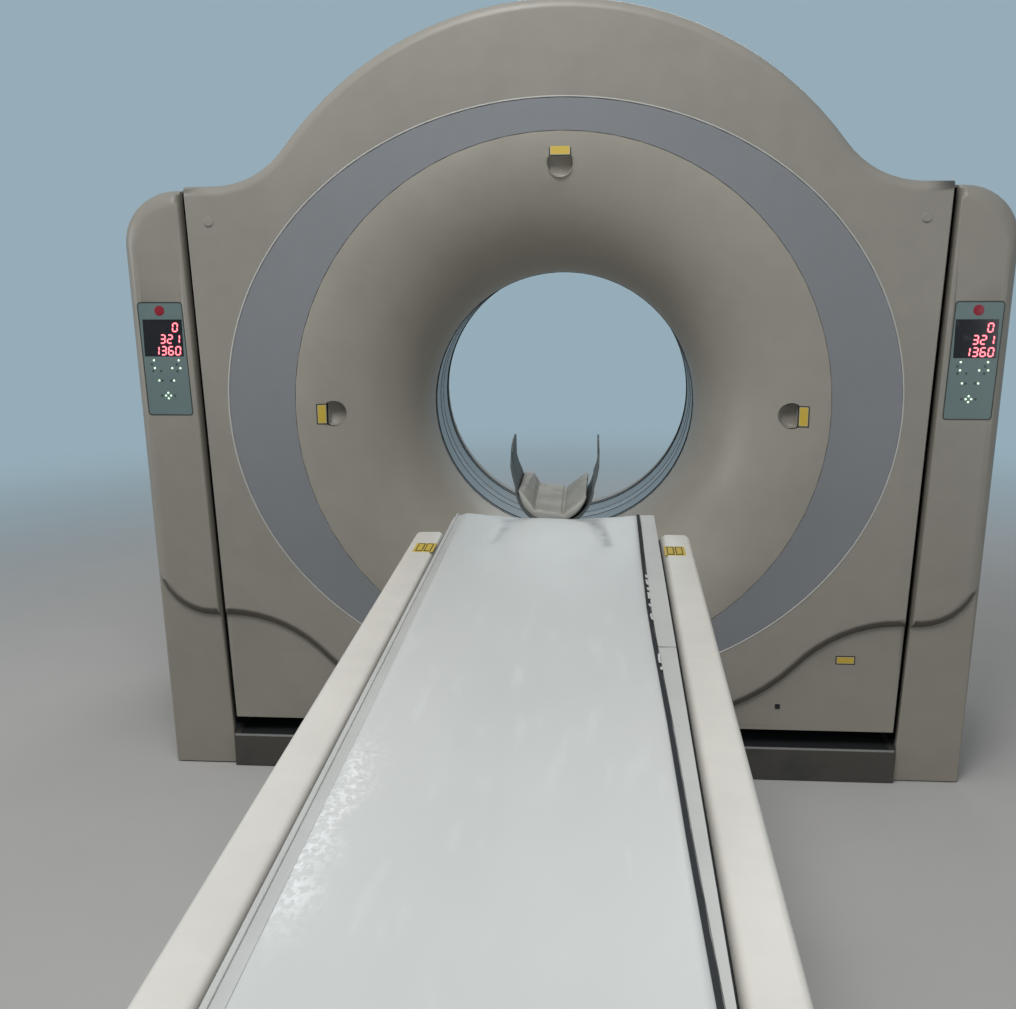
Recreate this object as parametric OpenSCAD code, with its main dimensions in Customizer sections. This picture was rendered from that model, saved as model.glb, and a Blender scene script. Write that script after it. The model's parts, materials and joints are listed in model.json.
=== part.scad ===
/* [Gantry] */
// Height of the bore axis above the floor
iso_z = 942; // [930:1:960]
// Depth of the gantry over its front and rear covers
gantry_d = 920; // [900:1:940]
// Diameter of the patient bore
bore_d = 700; // [680:1:710]
// Length of the straight throat of the bore
throat_l = 280; // [240:1:300]
// Radius of the funnel mouth
mouth_r = 660; // [640:1:680]
// Height of the centre of the funnel mouth
mouth_z = 970; // [960:1:980]
// Tilt of the gantry from upright, for a look at a pose
tilt = 0; // [-25:1:25]

/* [Tilting covers] */
// Half width of the tilting section at floor level
waist_w = 856; // [850:1:862]
// Widening of the tilting section for each mm of height
side_lean = 0.0412; // [0.038:0.0002:0.042]
// Height of the lower edge of the covers
skirt_z = 132; // [128:1:140]
// Height of the shoulders
shoulder_z = 1510; // [1500:1:1530]
// Radius of the crown arch
crown_r = 845; // [835:1:855]
// Height of the centre of the crown arch
crown_z = 1082; // [1075:1:1090]
// Radius of the hollow curve between shoulder and crown
neck_r = 230; // [180:1:260]
// Radius of the rolled edge of a cover
roll_r = 26; // [18:1:30]
// Wall of the moulded covers
wall = 5; // [4:0.5:6]
// Length of the top and side covers between front and rear covers
band_l = 460; // [400:10:480]
// Joint line between neighbouring covers
seam = 0.5; // [0.3:0.1:0.8]

/* [Coloured ring] */
// Half width of the ring
ring_w = 829; // [815:1:835]
// Half height of the ring
ring_h = 727; // [715:1:735]
// Height of the centre of the ring
ring_z = 979; // [974:1:984]
// Thickness of the ring plate
ring_t = 7; // [5:0.5:9]

/* [Wave step] */
// Depth of the step below the wave line
step_d = 16; // [10:1:18]
// Height of the rolled band along the wave line
step_roll = 26; // [16:1:30]
// Height of the wave line at the centre of the gantry
wave_low = 151; // [148:1:160]
// Radius of the hollow part of the wave
wave_hollow_r = 500; // [450:5:540]
// Radius of the wave's crest
wave_crest_r = 345; // [330:5:360]
// Distance of the crest from the middle of the gantry
wave_crest_x = 865; // [855:1:875]
// Height of the crest
wave_crest_z = 421; // [410:1:430]
// Radius of the sweep up the pillar
wave_sweep_r = 143; // [130:1:150]
// Distance of the lowest point of that sweep from the middle
wave_sweep_x = 905; // [900:1:915]

/* [Pillars] */
// Clearance between the tilting section and each pillar
gap = 12; // [12:0.5:14]
// Width of a pillar at floor level
pillar_t = 169; // [163:1:182]
// Widening of the pillars for each mm of height
pillar_lean = 0.03; // [0.02:0.002:0.036]
// Height of the pillars
pillar_z = 1500; // [1490:1:1505]
// Radius of the outer top corner
pillar_corner_r = 130; // [110:1:150]
// Radius of the rolled vertical edge
pillar_roll_r = 38; // [26:1:44]
// Clearance of the pillar covers above the floor
foot_gap = 3; // [2:0.5:5]

/* [Control panels] */
// Height of a control panel
panel_h = 284; // [270:1:300]
// Width of a control panel
panel_w = 116; // [110:1:120]
// Height of the lower edge of a panel
panel_z = 949; // [930:1:960]
// Depth of the pocket that holds a panel
panel_pocket = 6; // [5:0.5:8]
// Width of the display window
display_w = 100; // [90:1:104]
// Height of the display window
display_h = 92; // [80:1:96]

/* [Gantry frame] */
// Height of the base beams
beam_h = 87; // [80:1:90]
// Width of the base beams
beam_w = 60; // [50:1:64]
// Height of the front plinth
plinth_h = 90; // [90:1:94]
// Thickness of the side plates of the base
foot_t = 20; // [16:1:24]
// Distance between the anchor holes across the gantry
anchor_x = 1980; // [1960:1:1990]
// Distance between the anchor holes along the bore
anchor_y = 830; // [826:1:834]
// Radius of an anchor hole
anchor_r = 9; // [7:0.5:11]
// Thickness of the stand plates
stand_t = 20; // [16:1:22]
// Radius of the trunnion shafts
trunnion_r = 45; // [40:1:50]
// Running clearance of shafts and bearings, on the radius
run_gap = 0.05; // [0.02:0.01:0.08]
// Module of the tilt gear teeth
gear_m = 6; // [5:0.5:6]
// Teeth of the full tilt wheel, of which a sector is used
sector_teeth = 84; // [84:6:90]
// Teeth of the tilt pinion
pinion_teeth = 14; // [14:1:15]

/* [Rotor] */
// Radius of the rotor rim
rotor_r = 770; // [755:1:772]
// Radius of the rotor opening
rotor_bore_r = 385; // [375:1:395]
// Thickness of the rotor plate
rotor_t = 25; // [20:1:30]
// Position of the rotor plate's front face behind the scan plane
rotor_y = 60; // [55:1:62]
// Width of the rotor rim along the bore
rim_w = 80; // [76:1:82]
// Running radius of the main bearing
bearing_r = 560; // [550:1:570]
// Height of the X-ray focus above the bore axis
focus_h = 610; // [600:1:615]
// Depth of the detector face below the bore axis
detector_d = 450; // [440:1:455]
// Thickness of the detector arc
detector_t = 60; // [50:1:64]
// Number of detector modules
modules_n = 24; // [16:2:30]
// Radius of the drive pulley
pulley_r = 45; // [40:1:50]
// Thickness of the drive belt
belt_t = 4; // [3:0.5:5]

/* [Table] */
// Half width of the table top
table_w = 295; // [290:1:300]
// Height of the table rails
rail_z = 763; // [755:1:764]
// Width of the flat and bevelled top of a rail
rail_top_w = 63; // [60:1:64]
// Height of the rail covers
rail_h = 143; // [120:1:150]
// Distance from the gantry front to the table end
table_gap = 430; // [420:1:440]
// Length of the table top
table_l = 2230; // [2200:10:2300]
// Wall of the table covers
table_wall = 3; // [2.5:0.5:4]
// Distance between the lift columns
column_pitch = 600; // [560:10:640]
// Width of an outer lift column
column_w = 180; // [170:1:190]
// Wall of the lift columns
column_wall = 8; // [6:1:10]
// Length of the table base
base_l = 1200; // [1150:10:1240]
// Width of the table base
base_w = 560; // [540:10:570]
// Distance between the table anchor holes across the table
table_anchor_x = 500; // [480:10:510]
// Distance between the table anchor holes along the table
table_anchor_y = 1120; // [1080:10:1130]
// Radius of a table anchor hole
table_anchor_r = 7; // [6:0.5:8]

/* [Cradle] */
// Half width of the cradle over its flanges
cradle_w = 226; // [218:1:228]
// Radius of the dished underside
dish_r = 380; // [370:1:400]
// Wall of the cradle
cradle_t = 10; // [8:1:11]
// Height of the cradle flanges above the floor
flange_z = 770; // [768:1:772]
// Distance of the cradle tip in front of the table end
tip_out = 145; // [120:1:160]
// Distance from the table's rear end to the cradle's
cradle_back = 160; // [150:1:180]
// Distance from the cradle's rear end to the mattress
mat_back = 60; // [40:1:100]
// Half width of the flat keel that runs on the roller
keel_w = 60; // [50:1:70]
// Radius of the front support roller
roller_r = 24; // [20:1:26]
// Radius of the belt pulleys
belt_pulley_r = 20; // [18:1:21]
// Thickness of the mattress at its edges
mat_edge = 14; // [10:1:18]
// Hollow of the mattress surface at its middle
mat_dip = 18; // [10:1:22]
// Half width of the head holder
holder_r = 90; // [85:1:96]
// Length of the head holder
holder_l = 255; // [230:1:260]
// Height of the head holder's wing tips above its floor
wing_h = 193; // [170:1:200]
// Wall of the head holder
holder_t = 4; // [3:0.5:5]

/* [Hidden] */
$fn = 96;

front_y = -gantry_d / 2;
pillar_w = waist_w + gap + pillar_t;
bore_r = bore_d / 2;
far = 3000;
seat = 0.3;

// Half width of the tilting section at height z
function gap_x(z) = waist_w + side_lean * z;
// Outer half width of the pillars at height z
function pillar_x(z) = pillar_w + pillar_lean * z;
// Points on an arc from angle a0 to a1 in n steps
function arc(cx, cz, r, a0, a1, n) =
    [for (i = [0:n]) let (a = a0 + (a1 - a0) * i / n) [cx + r * cos(a), cz + r * sin(a)]];
// A list backwards, and a half outline with its mirror image as one closed loop
function reversed(list) = [for (i = [len(list) - 1:-1:0]) list[i]];
function mirrored(half) = concat(half, [for (p = reversed(half)) [-p[0], p[1]]]);

// Extrusions of an outline along Y and along X, a cylinder along each and a ring round the bore
module along_y(y0, y1) {
    translate([0, y1, 0]) rotate([90, 0, 0]) linear_extrude(y1 - y0) children();
}
module along_x(x0, x1) {
    translate([x0, 0, 0]) rotate([90, 0, 90]) linear_extrude(x1 - x0) children();
}
module rod_y(r, y0, y1, x, z) {
    translate([x, y1, z]) rotate([90, 0, 0]) cylinder(r = r, h = y1 - y0);
}
module rod_x(r, x0, x1, y, z) {
    translate([x0, y, z]) rotate([0, 90, 0]) cylinder(r = r, h = x1 - x0);
}
module ring_y(profile) {
    translate([0, 0, iso_z]) rotate([-90, 0, 0]) rotate_extrude($fn = 180) polygon(profile);
}
module tube_y(r0, r1, y0, y1) {
    ring_y([[r0, y0], [r1, y0], [r1, y1], [r0, y1]]);
}
module block(x0, x1, y0, y1, z0, z1) {
    translate([x0, y0, z0]) cube([x1 - x0, y1 - y0, z1 - z0]);
}
module both_sides() {
    children();
    mirror([1, 0, 0]) children();
}
module tilted() {
    translate([0, 0, iso_z]) rotate([tilt, 0, 0]) translate([0, 0, -iso_z]) children();
}

// A solid through rings of 3D points with closed ends. All rings have the same even count, and
// point i of a ring faces point n - 1 - i across it
module loft(rings) {
    n = len(rings[0]);
    m = len(rings);
    last = (m - 1) * n;
    points = [for (ring = rings) each ring];
    sides = [for (j = [0:m - 2]) for (i = [0:n - 1]) let (k = (i + 1) % n, p = j * n, q = p + n)
        each [[p + k, p + i, q + k], [q + k, p + i, q + i]]];
    cap = [for (i = [0:n / 2 - 2]) let (k = n - 1 - i) each [[i, i + 1, k - 1], [i, k - 1, k]]];
    ends = [for (t = cap) each [t, [last + t[2], last + t[1], last + t[0]]]];
    polyhedron(points, concat(sides, ends), convexity = 10);
}
// The same, with the last ring joined to the first and no ends
module closed_loft(rings) {
    n = len(rings[0]);
    m = len(rings);
    points = [for (ring = rings) each ring];
    sides = [for (j = [0:m - 1]) for (i = [0:n - 1])
        let (k = (i + 1) % n, p = j * n, q = ((j + 1) % m) * n)
        each [[p + k, p + i, q + k], [q + k, p + i, q + i]]];
    polyhedron(points, sides, convexity = 10);
}
function at_y(points, y) = [for (p = points) [p[0], y, p[1]]];

// Outline of the tilting section, d inside its outer face and a share of d at its sides
side_roll = 0.22;
neck_z = shoulder_z + neck_r;
neck_x = sqrt(pow(crown_r + neck_r, 2) - pow(neck_z - crown_z, 2));
neck_a = atan2(neck_z - crown_z, neck_x);
function body_half(d, share) = concat(
    [[gap_x(skirt_z + d) - d * share, skirt_z + d]],
    [[gap_x(shoulder_z - d) - d * share, shoulder_z - d - 0.5]],
    arc(neck_x, neck_z, neck_r + d, 270, 180 + neck_a, 8),
    arc(0, crown_z, crown_r - d, neck_a + 3, 88, 12));
function body_outline(d, share = 1) = mirrored(body_half(d, share));

// The wave line across the front, lift above its lower edge, from the middle to the right
wave_hollow_z = wave_low + wave_hollow_r;
wave_crest_c = wave_crest_z - wave_crest_r;
wave_hollow_x = wave_crest_x
    - sqrt(pow(wave_hollow_r + wave_crest_r, 2) - pow(wave_hollow_z - wave_crest_c, 2));
wave_sweep_z = wave_crest_c
    + sqrt(pow(wave_crest_r + wave_sweep_r, 2) - pow(wave_sweep_x - wave_crest_x, 2));
wave_a = atan2(wave_crest_c - wave_hollow_z, wave_crest_x - wave_hollow_x);
wave_b = atan2(wave_sweep_z - wave_crest_c, wave_sweep_x - wave_crest_x);
function wave_half(lift) = concat(
    arc(wave_hollow_x, wave_hollow_z, wave_hollow_r - lift, -90, wave_a, 8),
    arc(wave_crest_x, wave_crest_c, wave_crest_r + lift, 180 + wave_a - 5, wave_b, 8),
    arc(wave_sweep_x, wave_sweep_z, wave_sweep_r - lift, wave_b - 180 + 6, -8, 7),
    [[far, wave_sweep_z]]);
function wave_ring(lift) = let (line = concat([for (p = reversed(wave_half(lift))) [p[0], p[1]]],
        [for (p = wave_half(lift)) [-p[0], p[1]]]))
    concat(line, [for (p = reversed(line)) [p[0], -far]]);
module wave_cut() {
    steps = 5;
    loft([for (i = [steps:-1:-1]) let (a = max(0, 90 * i / steps))
        at_y(wave_ring(step_roll * (1 - sin(a))),
            i < 0 ? front_y - 1 : front_y + step_d * (1 - cos(a)))]);
}

module ellipse_prism(grow, y0, y1) {
    along_y(y0, y1) polygon([for (i = [0:71])
        [(ring_w + grow) * cos(i * 5), ring_z + (ring_h + grow) * sin(i * 5)]]);
}

// Covers of the tilting section
roll_steps = 4;
module body_block() {
    loft(concat([at_y(body_outline(0), -band_l / 2 - seam)],
        [for (i = [0:roll_steps]) let (a = 90 * i / roll_steps)
            at_y(body_outline(roll_r * (1 - cos(a)), side_roll), front_y + roll_r * (1 - sin(a)))]));
}
module body_cavity(y) {
    along_y(front_y + roll_r, -band_l / 2 + 1) polygon(body_outline(wall));
    along_y(y, front_y + roll_r + 0.1) polygon(body_outline(roll_r / 2, 1));
}

module front_cover() color([0.83, 0.80, 0.74]) tilted() {
    face = step_d + wall;
    difference() {
        body_block();
        body_cavity(front_y + face);
        difference() {
            along_y(front_y + wall, front_y + face + 0.1) polygon(body_outline(roll_r));
            ellipse_prism(10, front_y, front_y + roll_r + 1);
            block(-far, far, front_y, 0, 0, wave_crest_z + step_roll + wall);
        }
        wave_cut();
        ellipse_prism(0, front_y - 1, front_y + ring_t);
        ellipse_prism(-14, front_y - 1, front_y + face + 1);
    }
}

module rear_cover() color([0.83, 0.80, 0.74]) tilted() {
    difference() {
        mirror([0, 1, 0]) difference() {
            body_block();
            body_cavity(front_y + ring_t);
        }
        rod_y(mouth_r + 1, 0, -front_y + 1, 0, mouth_z);
    }
}

module cover_band() {
    difference() {
        along_y(-band_l / 2, band_l / 2) polygon(body_outline(0));
        along_y(-band_l / 2 - 1, band_l / 2 + 1) polygon(body_outline(wall));
    }
}

module top_cover() color([0.83, 0.80, 0.74]) tilted() {
    vent_w = 300;
    vents = 7;
    difference() {
        intersection() {
            cover_band();
            block(-far, far, -far, far, shoulder_z - wall, far);
        }
        for (i = [0:vents - 1])
            block(-vent_w / 2, vent_w / 2, (i - (vents - 1) / 2) * 30 - 7,
                (i - (vents - 1) / 2) * 30 + 7, crown_z, far);
    }
}

module side_covers() color([0.83, 0.80, 0.74]) tilted() {
    difference() {
        intersection() {
            cover_band();
            both_sides() block(300, far, -far, far, 0, shoulder_z - wall - seam);
        }
        both_sides() rod_x(trunnion_r * 2 + 5, 800, 950, 0, iso_z);
        block(-700, 700, -far, far, 0, skirt_z + 2 * wall);
    }
}

module ring_trim() color([0.62, 0.66, 0.74]) tilted() {
    difference() {
        ellipse_prism(-1.5, front_y, front_y + ring_t);
        rod_y(mouth_r + 1, front_y - 1, front_y + ring_t + 1, 0, mouth_z);
    }
}

// Bell-mouth funnel: a quarter ellipse from the mouth to the throat, with a flange behind its rim
funnel_l = (gantry_d - throat_l) / 2;
funnel_n = 64;
function funnel_station(s, grow) = let (a = 90 * s)
    [mouth_r - (mouth_r - bore_r) * sin(a) + grow * sin(a),
     funnel_l * (1 - cos(a)) + grow * cos(a),
     mouth_z + (iso_z - mouth_z) * sin(a)];
function funnel_ring(p) = [for (i = [0:funnel_n - 1]) let (a = 360 * i / funnel_n)
    [p[0] * cos(a), front_y + p[1], p[2] + p[0] * sin(a)]];
module funnel() {
    stations = 9;
    lip = 2;
    closed_loft([for (p = concat(
        [for (i = [0:stations]) funnel_station(i / stations, 0)],
        [for (i = [stations:-1:1]) funnel_station(i / stations, wall)],
        [[mouth_r + lip, ring_t + wall + 1, mouth_z], [mouth_r + 40, ring_t + wall + 1, mouth_z],
         [mouth_r + 40, ring_t, mouth_z], [mouth_r, ring_t, mouth_z]])) funnel_ring(p)]);
}

// Places of the laser windows: distance from the bore axis, and angle
laser_w = 32;
laser_top = 614;
laser_side = 568;
laser_rim = 10;
module laser_places() {
    translate([0, 0, iso_z + laser_top]) children();
    both_sides() translate([laser_side, 17, iso_z + 12]) rotate([0, 90, 0]) children();
}
module laser_cup(r, y0, y1) {
    intersection() {
        rod_y(r, y0, y1, 0, 0);
        block(-r, r, y0, y1, -r, r / 2);
    }
}

module front_funnel() color([0.84, 0.81, 0.75]) tilted() {
    difference() {
        funnel();
        laser_places() laser_cup(laser_w + seat, front_y - 20, front_y + 60);
    }
}

module laser_windows() color([0.25, 0.24, 0.22]) tilted() {
    laser_places() difference() {
        laser_cup(laser_w, front_y + laser_rim, front_y + laser_rim + 24);
        laser_cup(laser_w - 2, front_y, front_y + laser_rim + 21);
    }
}

module rear_funnel() color([0.84, 0.81, 0.75]) tilted() {
    mirror([0, 1, 0]) funnel();
}

lip_w = 20;
window_w = 56;
// One liner sleeve, with a thick rim and a groove behind it
module liner(half, y1) {
    groove = -half + lip_w;
    ring_y([[bore_r, -half], [bore_r, groove], [bore_r + 2, groove], [bore_r + 2, groove + seam],
        [bore_r, groove + seam], [bore_r, y1], [bore_r + wall, y1],
        [bore_r + wall, groove + seam + 4], [bore_r + 7, groove + seam + 1],
        [bore_r + 7, -half]]);
}
module bore_liners() color([0.74, 0.79, 0.84]) tilted() {
    half = throat_l / 2;
    liner(half, -window_w / 2 - seam);
    mirror([0, 1, 0]) liner(half, -window_w / 2 - seam);
}

module scan_window() color([0.85, 0.88, 0.9, 0.6]) tilted() {
    tube_y(bore_r, bore_r + 2, -window_w / 2, window_w / 2);
}

// Tilting frame, with the trunnion boxes outside the rotor
frame_y = rotor_y + rotor_t + 65;
frame_t = 40;
frame_r = rotor_r + 15;
box_x = rotor_r + 25;
box_h = 120;
side_face = gap_x(iso_z - box_h) - wall - seat;
motor_d = rotor_r + 100;
motor_a = 230;
motor_x = motor_d * cos(motor_a);
motor_z = iso_z + motor_d * sin(motor_a);
module tilt_frame() color([0.35, 0.37, 0.40]) tilted() {
    inner_r = bearing_r - 60;
    difference() {
        union() {
            ring_y([[inner_r, frame_y], [frame_r, frame_y], [frame_r, frame_y + frame_t + 40],
                [frame_r - 20, frame_y + frame_t + 40], [frame_r - 20, frame_y + frame_t],
                [inner_r + 20, frame_y + frame_t], [inner_r + 20, frame_y + frame_t + 40],
                [inner_r, frame_y + frame_t + 40]]);
            both_sides() {
                block(frame_r - 60, side_face, frame_y, frame_y + frame_t, iso_z - box_h,
                    iso_z + box_h);
                block(box_x, side_face, -80, frame_y + 1, iso_z - box_h, iso_z + box_h);
                for (z = [skirt_z + 150, shoulder_z - 150])
                    block(cos(asin((z - iso_z) / frame_r)) * frame_r - 30, gap_x(z - 20) - wall
                        - seat, frame_y, frame_y + frame_t, z - 20, z + 20);
            }
            rod_y(75, frame_y, frame_y + frame_t, motor_x, motor_z);
            hull() for (k = [0.85, 1])
                translate([0, frame_y, 0]) rod_y(60, 0, frame_t, motor_x * k,
                    iso_z + (motor_z - iso_z) * k, $fn = 32);
        }
        rod_y(20, frame_y - 1, frame_y + frame_t + 1, motor_x, motor_z);
        for (i = [0:11])
            rod_y(30, frame_y - 1, frame_y + frame_t + 1, (frame_r - 90) * cos(i * 30 + 15),
                iso_z + (frame_r - 90) * sin(i * 30 + 15));
    }
}

flange_t = 10;
sector_x = side_face + flange_t + 66;
sector_t = 22;
module trunnions() color("silver") tilted() {
    both_sides() {
        rod_x(trunnion_r * 2 - 5, side_face, side_face + flange_t, 0, iso_z);
        rod_x(trunnion_r, side_face + flange_t - 1, sector_x - 4, 0, iso_z);
        rod_x(trunnion_r - 5, sector_x - 5, sector_x + sector_t + 4, 0, iso_z);
    }
}

// Gear teeth with an involute flank; play is taken off each flank
pressure_a = 20;
tooth_play = 0.25;
function involute(rb, r) = let (t = sqrt(pow(r / rb, 2) - 1)) t * 180 / PI - atan(t);
function flank_a(teeth, r) = let (rp = gear_m * teeth / 2, rb = rp * cos(pressure_a))
    90 / teeth - tooth_play / rp * 180 / PI + involute(rb, rp) - involute(rb, max(r, rb));
function tooth(teeth, a) = let (rp = gear_m * teeth / 2, r0 = rp - 1.25 * gear_m,
        r1 = rp + gear_m, rs = [r0, rp - 0.6 * gear_m, rp, rp + 0.5 * gear_m, r1])
    concat([for (r = rs) let (b = a - flank_a(teeth, r)) [r * cos(b), r * sin(b)]],
        [for (i = [len(rs) - 1:-1:0]) let (b = a + flank_a(teeth, rs[i]))
            [rs[i] * cos(b), rs[i] * sin(b)]]);

sector_rp = gear_m * sector_teeth / 2;
pinion_rp = gear_m * pinion_teeth / 2;
pinion_z = iso_z - sector_rp - pinion_rp;
module tilt_sector() color([0.55, 0.56, 0.58]) tilted() {
    half = 9;
    pitch = 360 / sector_teeth;
    root = sector_rp - 1.25 * gear_m;
    difference() {
        along_x(sector_x, sector_x + sector_t) translate([0, iso_z]) polygon(concat(
            [for (i = [-half:half]) each tooth(sector_teeth, -90 + i * pitch)],
            arc(0, 0, 80, -20, 200, 16)));
        rod_x(trunnion_r - 5 + run_gap, sector_x - 1, sector_x + sector_t + 1, 0, iso_z);
        for (s = [-1, 0, 1]) translate([0, s * 85, -root * 0.62 + abs(s) * 14])
            rod_x(32, sector_x - 1, sector_x + sector_t + 1, 0, iso_z);
    }
}

module tilt_pinion() color([0.6, 0.61, 0.63]) {
    translate([0, 0, pinion_z]) {
        rotate([sector_teeth / pinion_teeth * -tilt, 0, 0]) along_x(sector_x - 1, sector_x + sector_t + 1)
            polygon([for (i = [0:pinion_teeth - 1])
                each tooth(pinion_teeth, 90 + (i + 0.5) * 360 / pinion_teeth)]);
        rod_x(14, sector_x - 30, sector_x + sector_t + 6, 0, 0);
    }
}

// Stands and base of the gantry
stand_x = gap_x(iso_z) + gap + 2;
housing_r = 96;
bearing_o = 62;
housing_w = 48;
function stand_outline(in) = [[-330 + in * 1.2, foot_t + 20], [330 - in * 1.2, foot_t + 20],
    [110 - in, iso_z], [-110 + in, iso_z]];
module stand() {
    x1 = stand_x + stand_t;
    difference() {
        union() {
            along_x(stand_x, x1) polygon(stand_outline(0));
            difference() {
                along_x(stand_x, x1 + 28) polygon(stand_outline(0));
                along_x(stand_x - 1, x1 + 29) polygon(stand_outline(14));
                block(stand_x - 1, x1 + 29, -200, 200, iso_z - 110, iso_z + 1);
            }
            block(stand_x, x1 + 60, -330, 330, foot_t, foot_t + 21);
            rod_x(housing_r + 20, stand_x, x1, 0, iso_z);
            rod_x(housing_r, stand_x, stand_x + housing_w, 0, iso_z);
        }
        rod_x(bearing_o, stand_x - 1, stand_x + housing_w + 1, 0, iso_z);
        for (z = [230, 430]) rod_x(80, stand_x - 1, x1 + 1, 0, z);
    }
}
module right_stand() color([0.30, 0.32, 0.35]) stand();
module left_stand() color([0.30, 0.32, 0.35]) mirror([1, 0, 0]) stand();

module trunnion_bearings() color("silver") both_sides() difference() {
    rod_x(bearing_o - run_gap, stand_x + 1, stand_x + housing_w - 1, 0, iso_z);
    rod_x(trunnion_r + run_gap, stand_x, stand_x + housing_w, 0, iso_z);
}

module tilt_gearmotor() color([0.22, 0.24, 0.27]) {
    x0 = stand_x + stand_t;
    x1 = sector_x - 3;
    motor_r = 50;
    difference() {
        union() {
            block(x0, x1, -62, 62, pinion_z - 58, pinion_z + 58);
            block(x0, x0 + 2 * motor_r + 8, -56, 56, pinion_z - 105, pinion_z - 54);
            translate([x0 + motor_r + 4, 0, pinion_z - 290]) cylinder(r = motor_r, h = 186);
            for (i = [0:5]) translate([x0 + motor_r + 4, 0, pinion_z - 270 + i * 26])
                cylinder(r = motor_r + 4, h = 8);
        }
        rod_x(14 + run_gap, x0 - 1, x1 + 1, 0, pinion_z);
    }
}

beam_y = -front_y - step_d - 8;
module base_frame() color([0.30, 0.32, 0.35]) {
    tie_w = 60;
    foot_x = pillar_x(0) - wall - 1 - seat;
    difference() {
        union() {
            both_sides() block(waist_w + 24, foot_x, -beam_y, beam_y, 0, foot_t);
            for (s = [-1, 1]) scale([1, s, 1])
                block(-foot_x + 12, foot_x - 12, beam_y - beam_w, beam_y, 0, beam_h);
            block(-tie_w, tie_w, -beam_y + 1, beam_y - 1, 0, 10);
        }
        for (x = [-anchor_x / 2, anchor_x / 2], y = [-anchor_y / 2, anchor_y / 2])
            translate([x, y, -1]) cylinder(r = anchor_r, h = beam_h + 2);
    }
}

module plinths() color([0.55, 0.56, 0.56]) {
    sheet = 3;
    w = waist_w + gap - 2;
    for (s = [-1, 1]) scale([1, s, 1]) {
        block(-w, w, -front_y - sheet, -front_y, 2, plinth_h);
        block(-w, w, beam_y - beam_w + 6, -front_y - 1, beam_h, plinth_h);
        both_sides() block(w - sheet, w, beam_y, -front_y - 1, 2, beam_h + 1);
    }
}

// Pillar covers
corner_z = pillar_z - pillar_corner_r;
function pillar_outline(out, in) = concat(
    [[gap_x(foot_gap) + gap + in, foot_gap], [pillar_x(foot_gap) - out, foot_gap]],
    arc(pillar_x(corner_z) - pillar_corner_r, corner_z, pillar_corner_r - out, 0, 90, 10),
    [[gap_x(pillar_z - out) + gap + in, pillar_z - out]]);
module pillar_cover() {
    steps = 4;
    inner = 6;
    face = step_d + inner;
    ends = [for (i = [0:steps]) let (a = 90 * i / steps)
        [pillar_roll_r * (1 - cos(a)), pillar_roll_r * (1 - sin(a))]];
    difference() {
        loft(concat(
            [for (i = [steps:-1:0]) at_y(pillar_outline(ends[i][0], ends[i][0] * 0.15),
                -front_y - ends[i][1])],
            [for (i = [0:steps]) at_y(pillar_outline(ends[i][0], ends[i][0] * 0.15),
                front_y + ends[i][1])]));
        difference() {
            along_y(front_y + face, -front_y - inner) polygon(pillar_outline(inner, -20));
            for (y = [front_y - 1, -front_y - pillar_roll_r])
                difference() {
                    block(0, far, y, y + pillar_roll_r + 1, 0, far);
                    along_y(y - 1, y + pillar_roll_r + 2)
                        polygon(pillar_outline(pillar_roll_r / 2, inner));
                }
        }
        block(0, pillar_x(0) - inner, -beam_y - 1, beam_y + 1, -1, beam_h + 4);
        wave_cut();
        panel_outline(seat, front_y - 1, front_y + panel_pocket);
    }
}
module right_pillar_cover() color([0.83, 0.80, 0.74]) pillar_cover();
module left_pillar_cover() color([0.83, 0.80, 0.74]) mirror([1, 0, 0]) pillar_cover();

// Control panels
panel_x = gap_x(panel_z) + gap + 16;
module panel_outline(grow, y0, y1) {
    lean = side_lean * panel_h;
    r = 9;
    hull() for (p = [[0, 0], [1, 0], [1, 1], [0, 1]])
        rod_y(r + grow, y0, y1, panel_x + r + p[0] * (panel_w - 2 * r) + p[1] * lean,
            panel_z + r + p[1] * (panel_h - 2 * r), $fn = 32);
}
display_x = panel_x + panel_w / 2 + side_lean * panel_h * 0.65;
display_z = panel_z + panel_h - 43 - display_h / 2;
module panel() difference() {
    panel_outline(0, front_y + 1, front_y + panel_pocket - 0.2);
    block(display_x - display_w / 2, display_x + display_w / 2, front_y, front_y + 3,
        display_z - display_h / 2, display_z + display_h / 2);
}
module right_control_panel() color([0.60, 0.67, 0.72]) panel();
module left_control_panel() color([0.60, 0.67, 0.72]) mirror([1, 0, 0]) panel();
module display_windows() color([0.05, 0.05, 0.06]) both_sides()
    block(display_x - display_w / 2 + seat, display_x + display_w / 2 - seat, front_y + 0.8,
        front_y + 3 - 0.1, display_z - display_h / 2 + seat, display_z + display_h / 2 - seat);

// Rotor
module rotor_drum() color([0.62, 0.63, 0.65]) tilted() {
    y1 = rotor_y + rotor_t;
    rim = 25;
    track = 3;
    grooves = [for (i = [0:3]) each [[rotor_r, rotor_y + 6 + i * 9], [rotor_r - track, rotor_y + 6
        + i * 9], [rotor_r - track, rotor_y + 10 + i * 9], [rotor_r, rotor_y + 10 + i * 9]]];
    difference() {
        ring_y(concat([[rotor_bore_r, rotor_y], [rotor_r, rotor_y]], grooves,
            [[rotor_r, rotor_y + rim_w], [rotor_r - rim, rotor_y + rim_w], [rotor_r - rim, y1],
             [rotor_bore_r, y1]]));
        for (i = [0:15]) let (a = i * 22.5 + 11.25)
            rod_y(28, rotor_y - 1, y1 + 1, (bearing_r + 90) * cos(a), iso_z
                + (bearing_r + 90) * sin(a));
    }
}

race_w = 50;
module bearing_inner_ring() color("silver") tilted()
    tube_y(bearing_r - 40, bearing_r - run_gap, rotor_y + rotor_t, rotor_y + rotor_t + race_w);

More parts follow.
